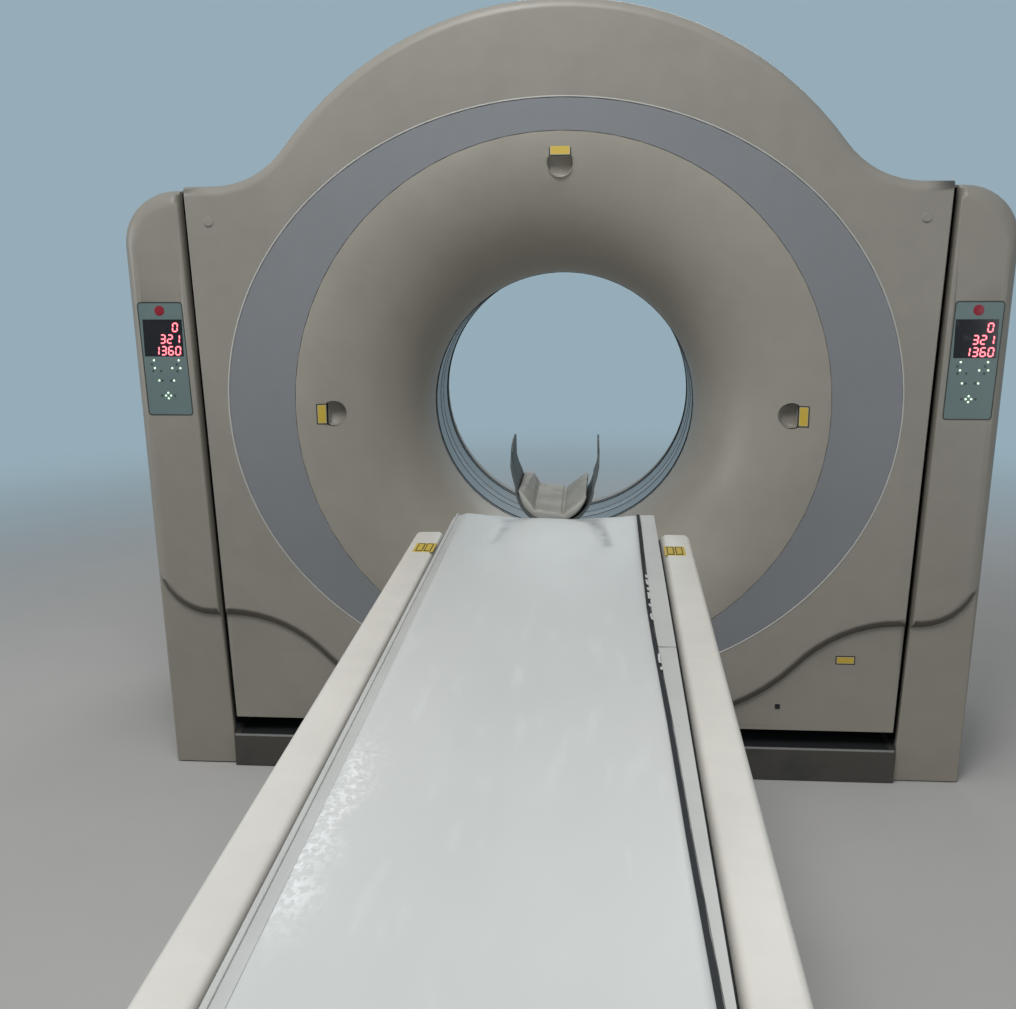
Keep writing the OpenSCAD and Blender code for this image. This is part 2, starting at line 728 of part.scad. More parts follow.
module bearing_outer_ring() color("silver") tilted()
    tube_y(bearing_r, bearing_r + 40, rotor_y + rotor_t + 5, frame_y);

module xray_tube() color([0.70, 0.70, 0.68]) tilted() {
    r = 95;
    z = iso_z + focus_h;
    rod_y(r, -130, rotor_y - 30, 0, z);
    rod_y(r - 15, -170, -129, 0, z);
    block(-r, r, rotor_y - 31, rotor_y, z - r, z + r);
    for (s = [-1, 1]) rod_y(18, -215, -169, s * 40, z);
}

module collimator() color([0.45, 0.46, 0.48]) tilted() {
    z1 = iso_z + focus_h - 96;
    difference() {
        block(-90, 90, -60, rotor_y, z1 - 80, z1);
        block(-62, 62, -12, 12, z1 - 81, z1 + 1);
    }
}

detector_r = focus_h + detector_d;
module detector_array() color([0.40, 0.42, 0.46]) tilted() {
    span = 24;
    y0 = -70;
    focus_z = iso_z + focus_h;
    step = 2 * (span - 1) / modules_n;
    difference() {
        rod_y(detector_r + detector_t, y0, rotor_y, 0, focus_z, $fn = 180);
        rod_y(detector_r, y0 - 1, rotor_y + 1, 0, focus_z, $fn = 180);
        block(-far, far, y0 - 1, far, focus_z - detector_r * cos(span), far);
        both_sides() translate([0, 0, focus_z]) rotate([0, span, 0])
            block(-far, 0, y0 - 1, far, -far, 0) ;
    }
    for (i = [0:modules_n - 1])
        translate([0, 0, focus_z]) rotate([0, (i - (modules_n - 1) / 2) * step, 0])
            block(-detector_r * sin(step * 0.42), detector_r * sin(step * 0.42), -45, 45,
                -detector_r - 4, -detector_r + 14);
}

// Units on the rotor plate, between its opening and its rim
unit_x0 = rotor_bore_r + 65;
unit_x1 = rotor_r - 80;
module data_unit() color([0.50, 0.52, 0.50]) tilted() {
    z0 = iso_z - rotor_r + 70;
    z1 = iso_z - detector_d - detector_t - 22;
    block(-200, 200, -60, rotor_y, z0, z1);
    for (i = [-4:4]) block(i * 40 - 12, i * 40 + 12, -66, -59, z0 + 20, z1 - 20);
}

module hv_generator() color([0.36, 0.40, 0.45]) tilted() {
    block(unit_x0, unit_x1, -130, rotor_y, iso_z - 150, iso_z + 150);
    for (z = [-80, 0, 80]) rod_y(22, -160, -129, (unit_x0 + unit_x1) / 2, iso_z + z);
}

module heat_exchanger() color([0.66, 0.67, 0.68]) tilted() {
    block(-unit_x1, -unit_x0, -60, rotor_y, iso_z - 140, iso_z + 140);
    for (i = [0:11])
        block(-unit_x1, -unit_x0, -110, -59, iso_z - 138 + i * 24, iso_z - 130 + i * 24);
    block(-unit_x1, -unit_x1 + 6, -110, -59, iso_z - 140, iso_z + 140);
}

module counterweight() color([0.25, 0.25, 0.27]) tilted() both_sides() {
    x0 = rotor_bore_r + 15;
    x1 = rotor_r - 210;
    z0 = iso_z + rotor_bore_r - 65;
    block(x0, x1, 0, rotor_y, z0, z0 + 130);
    block(x0 + 20, x1 - 20, -30, 1, z0 + 15, z0 + 115);
}

// Rotor drive: belt round the rotor rim and the motor pulley
belt_y = rotor_y + 44;
belt_w = 28;
module belt_loop(grow) {
    hull() {
        rod_y(rotor_r + grow, belt_y, belt_y + belt_w, 0, iso_z, $fn = 144);
        rod_y(pulley_r + grow, belt_y, belt_y + belt_w, motor_x, motor_z, $fn = 48);
    }
}
module drive_belt() color([0.10, 0.10, 0.11]) tilted() difference() {
    belt_loop(0.8 + belt_t);
    scale([1, 1, 1]) translate([0, -1, 0]) hull() {
        rod_y(rotor_r + 0.8, belt_y, belt_y + belt_w + 2, 0, iso_z, $fn = 144);
        rod_y(pulley_r + 0.8, belt_y, belt_y + belt_w + 2, motor_x, motor_z, $fn = 48);
    }
}

shaft_r = 14;
module drive_motor() color([0.22, 0.24, 0.27]) tilted() {
    y0 = frame_y + frame_t;
    rod_y(70, y0, y0 + 190, motor_x, motor_z);
    rod_y(60, y0 + 189, y0 + 215, motor_x, motor_z);
    for (i = [0:7]) rod_y(74, y0 + 20 + i * 20, y0 + 28 + i * 20, motor_x, motor_z);
    rod_y(19, frame_y - 6, y0 + 1, motor_x, motor_z);
}

module motor_pulley() color([0.62, 0.63, 0.65]) tilted() {
    difference() {
        union() {
            rod_y(pulley_r, belt_y - 2, belt_y + belt_w + 2, motor_x, motor_z);
            rod_y(pulley_r + 7, belt_y - 6, belt_y - 2, motor_x, motor_z);
        }
        for (i = [0:5]) rod_y(7, belt_y - 7, belt_y + belt_w + 3, motor_x + 28 * cos(i * 60),
            motor_z + 28 * sin(i * 60));
    }
    rod_y(shaft_r, belt_y + belt_w + 1, frame_y - 6 - seat, motor_x, motor_z);
}

module brush_block() color([0.20, 0.21, 0.22]) tilted()
    translate([0, 0, iso_z]) rotate([0, -62, 0]) {
        difference() {
            block(rotor_r + 0.6, rotor_r + 64, rotor_y + 2, frame_y, -55, 55);
            rod_y(rotor_r + 0.6, rotor_y, rotor_y + 42, 0, 0, $fn = 180);
            block(rotor_r - 10, rotor_r + 16, rotor_y + 40, frame_y - 8, -60, 60);
        }
    }

// Table, counted from its end at the gantry
table_y = front_y - table_gap;
foot_y = table_y - table_l;
deck_z = rail_z - 165;
deck_t = 8;
base_y = table_y - 260;
column_y = [base_y - base_l / 2 + column_pitch / 2, base_y - base_l / 2 - column_pitch / 2];
base_t = 15;
module rounded_plate(x, y0, y1, z0, z1, r) {
    hull() for (a = [-x + r, x - r], b = [y0 + r, y1 - r])
        translate([a, b, z0]) cylinder(r = r, h = z1 - z0, $fn = 32);
}

module table_base() color([0.33, 0.35, 0.38]) {
    y0 = base_y - base_l;
    mid = base_y - base_l / 2;
    difference() {
        union() {
            block(-base_w / 2, base_w / 2, y0, base_y, 0, base_t);
            for (y = column_y) block(-column_w / 2 - 30, column_w / 2 + 30, y - column_w / 2 - 30,
                y + column_w / 2 + 30, base_t - 1, base_t + 12);
        }
        for (x = [-1, 1], y = [-1, 1])
            translate([x * table_anchor_x / 2, mid + y * table_anchor_y / 2, -1])
                cylinder(r = table_anchor_r, h = base_t + 2);
    }
}

module column_tubes(w, t, z0, z1) {
    for (y = column_y) difference() {
        block(-w / 2, w / 2, y - w / 2, y + w / 2, z0, z1);
        block(-w / 2 + t, w / 2 - t, y - w / 2 + t, y + w / 2 - t, z0 - 1, z1 + 1);
    }
}
module outer_columns() color([0.50, 0.51, 0.53])
    column_tubes(column_w, column_wall, base_t + 12, 430);
module inner_columns() color([0.65, 0.66, 0.68])
    column_tubes(column_w - 2 * column_wall - 2 * seat, column_wall - 2, 70, deck_z);

// Telescoping shrouds, each with a lip that reaches to the next one
shroud_step = 7;
shroud_x = base_w / 2 - 28;
shroud_y0 = base_y - base_l + 26;
shroud_y1 = base_y - 26;
module shroud(n, z0, z1, lip_z) {
    in = n * shroud_step;
    r = 40 - in;
    t = table_wall;
    difference() {
        rounded_plate(shroud_x - in, shroud_y0 + in, shroud_y1 - in, z0, z1, r);
        rounded_plate(shroud_x - in - t, shroud_y0 + in + t, shroud_y1 - in - t, z0 - 1,
            lip_z, r - t);
        if (lip_z < z1)
            rounded_plate(shroud_x - in - shroud_step + 0.5, shroud_y0 + in + shroud_step - 0.5,
                shroud_y1 - in - shroud_step + 0.5, lip_z - 1, z1 + 1, r - shroud_step + 0.5);
    }
}
module lower_shroud() color([0.83, 0.80, 0.74]) shroud(0, base_t, 330, 318);
module middle_shroud() color([0.80, 0.77, 0.71]) shroud(1, 170, 470, 458);
module upper_shroud() color([0.83, 0.80, 0.74]) shroud(2, 310, deck_z, deck_z + 5);

// Chassis: deck, side walls, guide rails and the brackets of roller and pulleys
chassis_x = table_w - rail_top_w - seat;
chassis_t = 9;
guide_x = 90;
guide_s = 20;
roller_y = table_y - 40;
roller_z = flange_z - 72 - seat - roller_r;
pulley_z = deck_z + deck_t + 34;
pulley_y = foot_y + 60;
idler_y = table_y - 120;
dish_z = flange_z - 12 + sqrt(pow(dish_r, 2) - pow(205, 2));
keel_z = dish_z - dish_r;
module axle_brackets(x0, t, y, z, r, hole) {
    both_sides() difference() {
        block(x0, x0 + t, y - r, y + r, deck_z + deck_t - 1, z + r);
        rod_x(hole, x0 - 1, x0 + t + 1, y, z);
    }
}
module table_chassis() color([0.30, 0.32, 0.35]) {
    top = deck_z + deck_t;
    difference() {
        union() {
            block(-chassis_x, chassis_x, foot_y, table_y - 5, deck_z, top);
            both_sides() block(chassis_x - chassis_t, chassis_x, foot_y, table_y - 5, deck_z,
                rail_z - 14);
            difference() {
                block(-chassis_x, chassis_x, table_y - 10, table_y - 5, deck_z, rail_z - 14);
                rod_y(dish_r + 8, table_y - 11, table_y - 4, 0, dish_z);
            }
        }
        for (y = column_y) block(-50, 50, y - 50, y + 50, deck_z - 1, top + 1);
    }
    both_sides() block(guide_x - guide_s / 2, guide_x + guide_s / 2, pulley_y + 40,
        table_y - 60, top - 1, top + guide_s);
    axle_brackets(keel_w - 2, 8, roller_y, roller_z, 14, 8 + run_gap);
    axle_brackets(18, 6, pulley_y, pulley_z, 10, 6 + run_gap);
    axle_brackets(18, 6, idler_y, pulley_z, 10, 6 + run_gap);
}

module support_roller() color([0.20, 0.20, 0.21]) {
    rod_x(roller_r, -keel_w + 4, keel_w - 4, roller_y, roller_z);
    rod_x(8, -keel_w - 8, keel_w + 8, roller_y, roller_z);
}
module belt_pulley(y) {
    rod_x(belt_pulley_r, -15, 15, y, pulley_z);
    rod_x(6, -26, 26, y, pulley_z);
}
module cradle_pulley() color([0.6, 0.61, 0.63]) belt_pulley(pulley_y);
module cradle_idler() color([0.6, 0.61, 0.63]) belt_pulley(idler_y);
module cradle_motor() color([0.22, 0.24, 0.27]) {
    difference() {
        union() {
            rod_x(32, 24, 165, pulley_y, pulley_z);
            for (i = [0:4]) rod_x(33.5, 50 + i * 22, 58 + i * 22, pulley_y, pulley_z);
        }
        rod_x(7, 23, 28, pulley_y, pulley_z);
    }
}
table_belt_t = 2.5;
module cradle_belt() color([0.10, 0.10, 0.11]) {
    r = belt_pulley_r + 0.5;
    difference() {
        hull() for (y = [pulley_y, idler_y])
            rod_x(r + table_belt_t, -12, 12, y, pulley_z, $fn = 48);
        hull() for (y = [pulley_y, idler_y]) rod_x(r, -13, 13, y, pulley_z, $fn = 48);
    }
}

// Rail covers, with a bevel towards the cradle and a round outer edge
function rail_outline(in) = let (x0 = table_w - rail_top_w, r = 10) concat(
    [[x0 + in, rail_z - rail_h + (in > 0 ? -1 : 0)], [x0 + in, rail_z - 9 - in * 0.4],
     [x0 + 12 + in * 0.4, rail_z - in]],
    arc(table_w - r, rail_z - r, r - in, 90, 0, 6),
    [[table_w - 4 - in, rail_z - rail_h + (in > 0 ? -1 : 0)]]);
module rail_plan(grow) {
    r = 20;
    x0 = table_w - rail_top_w;
    translate([0, 0, rail_z - rail_h - 5]) linear_extrude(rail_h + 10) polygon(concat(
        [[x0 - 20, foot_y - grow], [table_w + grow, foot_y - grow]],
        arc(table_w - r, table_y - r, r + grow, 0, 90, 6), [[x0 - 20, table_y + grow]]));
}
module rail() {
    difference() {
        intersection() {
            along_y(foot_y, table_y) polygon(rail_outline(0));
            rail_plan(0);
        }
        intersection() {
            along_y(foot_y - 1, table_y) polygon(rail_outline(table_wall));
            rail_plan(-table_wall);
        }
        block(0, far, foot_y - 1, foot_y + 2, 0, rail_z - rail_h + 1);
    }
}
module right_rail() color([0.88, 0.86, 0.80]) rail();
module left_rail() color([0.88, 0.86, 0.80]) mirror([1, 0, 0]) rail();

module foot_cap() color([0.88, 0.86, 0.80]) {
    depth = 34;
    difference() {
        rounded_plate(table_w - 1, foot_y - depth, foot_y + 60, rail_z - rail_h, rail_z - 4, 30);
        rounded_plate(table_w - 1 - table_wall, foot_y - depth + table_wall, foot_y + 60,
            rail_z - rail_h - 1, rail_z - 4 - table_wall, 28);
        block(-far, far, foot_y - seat, foot_y + 61, 0, far);
    }
}

// Cradle: a dished shell with side flanges and a flat keel
tip_y = table_y + tip_out;
cradle_y = foot_y + cradle_back;
module cradle() color([0.80, 0.82, 0.83]) {
    r = 40;
    intersection() {
        union() {
            intersection() {
                difference() {
                    rod_y(dish_r, cradle_y, tip_y, 0, dish_z, $fn = 180);
                    rod_y(dish_r - cradle_t, cradle_y - 1, tip_y + 1, 0, dish_z, $fn = 180);
                }
                block(-205, 205, cradle_y, tip_y, 0, flange_z);
            }
            intersection() {
                block(-keel_w, keel_w, cradle_y, tip_y, keel_z, keel_z + 9);
                rod_y(dish_r + 6, cradle_y, tip_y, 0, dish_z + 6);
            }
            both_sides() block(204, cradle_w, cradle_y, tip_y, flange_z - 5, flange_z);
        }
        translate([0, 0, keel_z - 1]) linear_extrude(flange_z - keel_z + 2) polygon(mirrored(concat(
            [[1, cradle_y], [cradle_w + 1, cradle_y], [cradle_w + 1, tip_y - r]],
            arc(cradle_w - r, tip_y - r, r, 8, 90, 6), [[1, tip_y]])));
    }
}

module cradle_carriage() color([0.45, 0.46, 0.48]) {
    y0 = cradle_y + 80;
    y1 = y0 + 280;
    plate = pulley_z + belt_pulley_r - 4;
    top = deck_z + deck_t;
    difference() {
        union() {
            block(-125, 125, y0, y1, plate, plate + 16);
            block(-keel_w, keel_w, y0, y1, plate + 15, keel_z);
            both_sides() for (y = [y0, y1 - 70])
                block(guide_x - 28, guide_x + 28, y, y + 70, top + 2, plate + 1);
        }
        block(-14, 14, y0 - 1, y1 + 1, plate - 1, pulley_z + belt_pulley_r + table_belt_t + 1);
        both_sides() block(guide_x - guide_s / 2 - seat, guide_x + guide_s / 2 + seat, y0 - 1,
            y1 + 1, top, top + guide_s + seat);
    }
}

// Mattress, lying a little askew on the cradle
mat_left = 212;
mat_right = 190;
mat_skew = 42;
module mattress() color([0.86, 0.88, 0.89]) {
    top = flange_z + mat_edge;
    half = 245;
    low_x = 85;
    r = dish_r - cradle_t - 0.8;
    bed = flange_z + 0.4;
    bed_x = sqrt(pow(r, 2) - pow(dish_z - bed, 2));
    big = (pow(half, 2) + pow(mat_dip, 2)) / (2 * mat_dip);
    a0 = asin(low_x / r);
    a1 = asin(bed_x / r);
    surface_a = asin(half / big);
    y0 = cradle_y + mat_back;
    y1 = tip_y - 5;
    intersection() {
        difference() {
            along_y(y0, y1) polygon(concat(
                arc(0, dish_z, r, -90 - a1, -90 - a0, 6), arc(0, dish_z, r, -90 + a0, -90 + a1, 6),
                [[half, bed]],
                arc(0, top - mat_dip + big, big, -90 + surface_a, -90 - surface_a, 12),
                [[-half, bed]]));
            tongue(seat);
        }
        translate([0, 0, keel_z]) linear_extrude(top - keel_z + 20) polygon([[-mat_left, y1],
            [-mat_left + 6, y0], [mat_right + mat_skew, y0], [mat_right, y1]]);
    }
}

// Head holder: a U of sheet on a tongue that lies in the cradle
holder_y0 = tip_y + 10;
holder_y1 = holder_y0 + holder_l;
holder_floor = dish_z - dish_r + 42;
holder_c = holder_floor + holder_r;
wing_out = 11;
function wing_side(in) = [[holder_r + wing_out - 2 - in, holder_floor + wing_h + 10],
    [holder_r + wing_out - in, holder_c + 48], [holder_r + wing_out - 4 - in, holder_c + 26]];
function holder_profile(in) = let (side = wing_side(in)) concat(side,
    arc(0, holder_c, holder_r - in, 0, -180, 24), [for (p = reversed(side)) [-p[0], p[1]]]);
function wing_curve(y0, y1, z0, n, bend) = [for (i = [0:n]) let (t = i / n)
    [y0 + (y1 - y0) * t, z0 + (holder_floor + wing_h - z0) * pow(t, bend)]];
module tongue(grow) {
    w = 60 + grow;
    r = dish_r - cradle_t;
    intersection() {
        difference() {
            rod_y(r - seat, holder_y0 - 190 - grow, holder_y0 - 1, 0, dish_z, $fn = 180);
            rod_y(r - 8 - grow, holder_y0 - 200, holder_y0, 0, dish_z, $fn = 180);
        }
        block(-w, w, -far * 2, 0, 0, holder_c);
    }
}
module head_holder() color([0.28, 0.29, 0.31]) {
    tip = holder_y0 + holder_l * 0.5;
    low = holder_c - 18;
    wing_rise = holder_floor + wing_h - low;
    intersection() {
        difference() {
            along_y(holder_y0, holder_y1) polygon(holder_profile(0));
            along_y(holder_y0 - 1, holder_y1 + 1) polygon(concat(
                [[holder_r + wing_out - 2 - holder_t, far]], holder_profile(holder_t),
                [[-holder_r - wing_out + 2 + holder_t, far]]));
        }
        along_x(-far, far) polygon(concat([[holder_y0, 0], [holder_y0, low],
            [holder_y0 + 4, low + wing_rise * 0.6], [holder_y0 + 11, low + wing_rise * 0.82],
            [holder_y0 + 28, low + wing_rise * 0.92], [holder_y0 + 70, low + wing_rise * 0.98]],
            reversed(wing_curve(holder_y1 - 4, tip, low, 10, 1.5)),
            [[holder_y1, low], [holder_y1, 0]]));
    }
    tongue(0);
    difference() {
        block(-45, 45, tip_y + 0.5, holder_y0 + 30, dish_z - dish_r + cradle_t + 3,
            holder_floor + 8);
        rod_y(holder_r - holder_t / 2, holder_y0, holder_y0 + 31, 0, holder_c);
        block(-46, 46, holder_y0 + 8, holder_y0 + 31, 0, holder_floor - 8);
        block(-46, 46, tip_y, holder_y0 - 1, holder_floor - 4, far);
    }
}

// Head pad, rolled a little in its holder; its trough rises to the rear
pad_roll = 8;
pad_rise = 4.3;
pad_r = holder_r - holder_t - 6;
module head_pad() color([0.72, 0.66, 0.55]) {
    y0 = holder_y0 + 12;
    y1 = holder_y1 - 14;
    facet = 33;
    deep = 53;
    intersection() {
        translate([-4.5, 0, holder_c - 3]) rotate([0, pad_roll, 0]) difference() {
            rod_y(pad_r, y0, y1, 0, 0);
            translate([0, y0, 0]) rotate([pad_rise, 0, 0]) along_y(-20, y1 - y0 + 20)
                polygon([[-facet, -deep], [facet, -deep], [facet + pad_r, -deep + pad_r],
                    [facet + pad_r, far], [-facet - pad_r, far], [-facet - pad_r, -deep + pad_r]]);
        }
        block(-far, far, -far, 0, 0, holder_c - 6);
    }
}

// Cable duct on the floor between table and gantry
module floor_duct() color([0.62, 0.61, 0.58]) {
    w = 70;
    h = 36;
    along_y(base_y + seat, front_y - seat) polygon([[-w, 0], [w, 0], [w - 18, h], [-w + 18, h]]);
}

base_frame();
left_stand();
right_stand();
trunnion_bearings();
tilt_gearmotor();
tilt_pinion();
left_pillar_cover();
right_pillar_cover();
left_control_panel();
right_control_panel();
display_windows();
plinths();
floor_duct();
tilt_frame();
trunnions();
tilt_sector();
bearing_outer_ring();
front_cover();
rear_cover();
top_cover();
side_covers();
ring_trim();
front_funnel();
rear_funnel();
bore_liners();
scan_window();
laser_windows();
drive_motor();
motor_pulley();
drive_belt();
brush_block();
rotor_drum();
bearing_inner_ring();
xray_tube();
collimator();
detector_array();
data_unit();
hv_generator();
heat_exchanger();
counterweight();
table_base();
outer_columns();
inner_columns();
lower_shroud();
middle_shroud();
upper_shroud();
table_chassis();
left_rail();
right_rail();
foot_cap();
support_roller();
cradle_motor();
cradle_pulley();
cradle_idler();
cradle_belt();
cradle();
cradle_carriage();
mattress();
head_holder();
head_pad();
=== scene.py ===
"""Looks of a ct scanner: finishes and fine pieces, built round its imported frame."""

import json
import logging
import math
from dataclasses import dataclass
from enum import Enum
from functools import lru_cache
from typing import Callable, Dict, List, Optional, Sequence, Tuple

import bmesh
import bpy
from mathutils import Matrix, Vector, noise

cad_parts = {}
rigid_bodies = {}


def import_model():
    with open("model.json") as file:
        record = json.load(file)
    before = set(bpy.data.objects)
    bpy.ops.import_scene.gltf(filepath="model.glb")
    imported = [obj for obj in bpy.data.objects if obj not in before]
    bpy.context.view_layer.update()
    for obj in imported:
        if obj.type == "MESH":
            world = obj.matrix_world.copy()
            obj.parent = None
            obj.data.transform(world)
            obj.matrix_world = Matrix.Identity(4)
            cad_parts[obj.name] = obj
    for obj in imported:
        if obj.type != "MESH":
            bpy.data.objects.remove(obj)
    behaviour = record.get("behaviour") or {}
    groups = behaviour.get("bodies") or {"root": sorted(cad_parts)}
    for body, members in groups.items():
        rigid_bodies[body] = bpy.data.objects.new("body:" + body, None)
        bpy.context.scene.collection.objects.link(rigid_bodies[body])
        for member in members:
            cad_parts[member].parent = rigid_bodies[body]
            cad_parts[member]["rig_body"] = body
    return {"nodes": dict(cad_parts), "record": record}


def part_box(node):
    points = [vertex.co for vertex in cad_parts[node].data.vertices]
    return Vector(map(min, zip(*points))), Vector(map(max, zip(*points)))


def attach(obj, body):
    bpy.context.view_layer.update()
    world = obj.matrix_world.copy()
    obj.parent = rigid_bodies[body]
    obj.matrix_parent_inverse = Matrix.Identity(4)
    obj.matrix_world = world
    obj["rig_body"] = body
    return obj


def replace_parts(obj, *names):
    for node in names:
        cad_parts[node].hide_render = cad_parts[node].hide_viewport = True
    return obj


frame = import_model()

LOG = logging.getLogger("scanner")
Point = Tuple[float, float, float]
Colour = Tuple[float, float, float]
Piece = bpy.types.Object
Tree = bpy.types.NodeTree
Node = bpy.types.Node
Test = Callable[[object], bool]
Step = Callable[[], object]
Rows = Tuple[Tuple[float, Tuple[float, ...]], ...]
MERGE = 0.00002  # Distance in metres at which a node's doubled points are merged.
FACE_FRONT = (math.pi / 2, 0, 0)  # Turn of a primitive whose axis is to run along Y.


class Body(Enum):
    """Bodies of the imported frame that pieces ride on."""

    BASE = "base"
    TILT = "tilting_gantry"
    MIDDLE = "middle_lift"
    TOP = "table_top"
    CRADLE = "cradle_body"


class Side(Enum):
    """Left and right of the gantry, as seen from the table."""

    LEFT = -1
    RIGHT = 1


# Shader maths


class Wire:
    """A socket whose value takes part in Python expressions."""

    def __init__(self, tree: Tree, socket: bpy.types.NodeSocket) -> None:
        """Keeps the node tree and the output socket that carries the value."""
        self.tree, self.socket = tree, socket

    def _math(self, operation: str, *values: "Wire | float") -> "Wire":
        """Adds one Math node.

        Args:
            operation: Name of the node's operation.
            values: Its inputs, wires or numbers.

        Returns:
            The wire of the result.
        """
        node = self.tree.nodes.new("ShaderNodeMath")
        node.operation = operation
        for slot, value in zip(node.inputs, values):
            plug(self.tree, slot, value)
        return Wire(self.tree, node.outputs[0])

    def __add__(self, other: "Wire | float") -> "Wire":
        """Sum of two values."""
        return self._math("ADD", self, other)

    def __sub__(self, other: "Wire | float") -> "Wire":
        """Difference of two values."""
        return self._math("SUBTRACT", self, other)

    def __rsub__(self, other: float) -> "Wire":
        """A number less this value."""
        return self._math("SUBTRACT", other, self)

    def __mul__(self, other: "Wire | float") -> "Wire":
        """Product of two values."""
        return self._math("MULTIPLY", self, other)

    def ramp(self, low: float, high: float) -> "Wire":
        """0 below low, 1 above high, smooth between.

        Args:
            low: Value that gives 0.
            high: Value that gives 1.

        Returns:
            The wire of the result.
        """
        node = self.tree.nodes.new("ShaderNodeMapRange")
        node.interpolation_type = "SMOOTHSTEP"
        for name, value in (("Value", self), ("From Min", low), ("From Max", high)):
            plug(self.tree, node.inputs[name], value)
        return Wire(self.tree, node.outputs["Result"])


def plug(tree: Tree, slot: bpy.types.NodeSocket, value: object) -> None:
    """Links a wire to an input, or sets the input's value.

    Args:
        tree: Node tree of the input.
        slot: The input.
        value: A wire, number, colour or vector.
    """
    if isinstance(value, Wire):
        tree.links.new(value.socket, slot)
    else:
        slot.default_value = value


class Paint:
    """Builds one material from node calls and Wire expressions."""

    def __init__(self, name: str) -> None:
        """Starts the material with its shader.

        Args:
            name: Name of the material.
        """
        self.material = bpy.data.materials.new(name)
        self.material.use_nodes = True
        self.tree = self.material.node_tree
        self.shader = self.tree.nodes["Principled BSDF"]

    def node(self, kind: str, settings: Optional[Dict] = None, **values: object) -> Node:
        """Adds a node, makes its settings and fills its sockets.

        Args:
            kind: Type of the node.
            settings: Attributes that are set first.
            values: Socket values or wires, by socket name with _ for a space.

        Returns:
            The new node.
        """
        made = self.tree.nodes.new(kind)
        for key, value in (settings or {}).items():
            setattr(made, key, value)
        for key, value in values.items():
            plug(self.tree, made.inputs[key.replace("_", " ")], value)
        return made

    def read(
        self, output: "int | str", kind: str, settings: Optional[Dict] = None, **values: object
    ) -> Wire:
        """Wire of one output of a new node, which is made as node() says."""
        return Wire(self.tree, self.node(kind, settings, **values).outputs[output])

    def place(self, scale: Point = (1, 1, 1)) -> Wire:
        """Object coordinates, stretched by scale.

        Args:
            scale: Factor along each axis.

        Returns:
            The wire of the vector.
        """
        at = self.read("Object", "ShaderNodeTexCoord")
        if scale == (1, 1, 1):
            return at
        return self.read(0, "ShaderNodeMapping", Vector=at, Scale=scale)

    def axis(self, index: int) -> Wire:
        """One of the object coordinates."""
        return self.read(index, "ShaderNodeSeparateXYZ", Vector=self.place())

    def mark(self, name: str) -> Wire:
        """Values of the mesh's own attribute called name."""
        return self.read("Fac", "ShaderNodeAttribute", {"attribute_name": name})

    def grain(self, scale: float, detail: float = 2.0, stretch: Point = (1, 1, 1)) -> Wire:
        """Noise around 0.5, with scale features per metre and detail octaves."""
        at = self.place(stretch)
        return self.read("Fac", "ShaderNodeTexNoise", Vector=at, Scale=scale, Detail=detail)

    def cells(self, scale: float, stretch: Point = (1, 1, 1)) -> Wire:
        """Distance to the edges of a cell pattern.

        Args:
            scale: Number of cells per metre.
            stretch: Factor on the coordinates along each axis.

        Returns:
            The wire of the distance.
        """
        kind = {"feature": "DISTANCE_TO_EDGE"}
        at = self.place(stretch)
        return self.read("Distance", "ShaderNodeTexVoronoi", kind, Vector=at, Scale=scale)

    def blend(self, share: Wire, low: object, high: object) -> Wire:
        """Mixes two colours.

        Args:
            share: Share of the second colour.
            low: First colour, or a wire.
            high: Second colour, or a wire.

        Returns:
            The wire of the colour.
        """
        made = self.node("ShaderNodeMix", {"data_type": "RGBA"})
        for index, value in ((0, share), (6, low), (7, high)):
            full = value if isinstance(value, Wire) else (*value, 1.0)
            plug(self.tree, made.inputs[index], full)
        return Wire(self.tree, made.outputs[2])

    def relief(self, height: Wire, distance: float) -> None:
        """Gives the shader a bump of height times distance in metres."""
        self.set(Normal=self.read(
            0, "ShaderNodeBump", Height=height, Distance=distance, Strength=1.0))

    def set(self, **values: object) -> None:
        """Fills inputs of the shader, by socket name with _ for a space."""
        for key, value in values.items():
            plug(self.tree, self.shader.inputs[key.replace("_", " ")], value)


def tinted(colour: Colour, factor: float, lift: float = 0.0) -> Colour:
    """A colour times factor, plus lift, at most 1 in each channel."""
    return tuple(min(1.0, c * factor + lift) for c in colour)


@dataclass(frozen=True)
class Finish:
    """A procedural finish."""

    name: str
    colour: Colour

    def fill(self, paint: Paint) -> None:
        """Sets the shader of paint up, in each kind of finish."""
        raise NotImplementedError


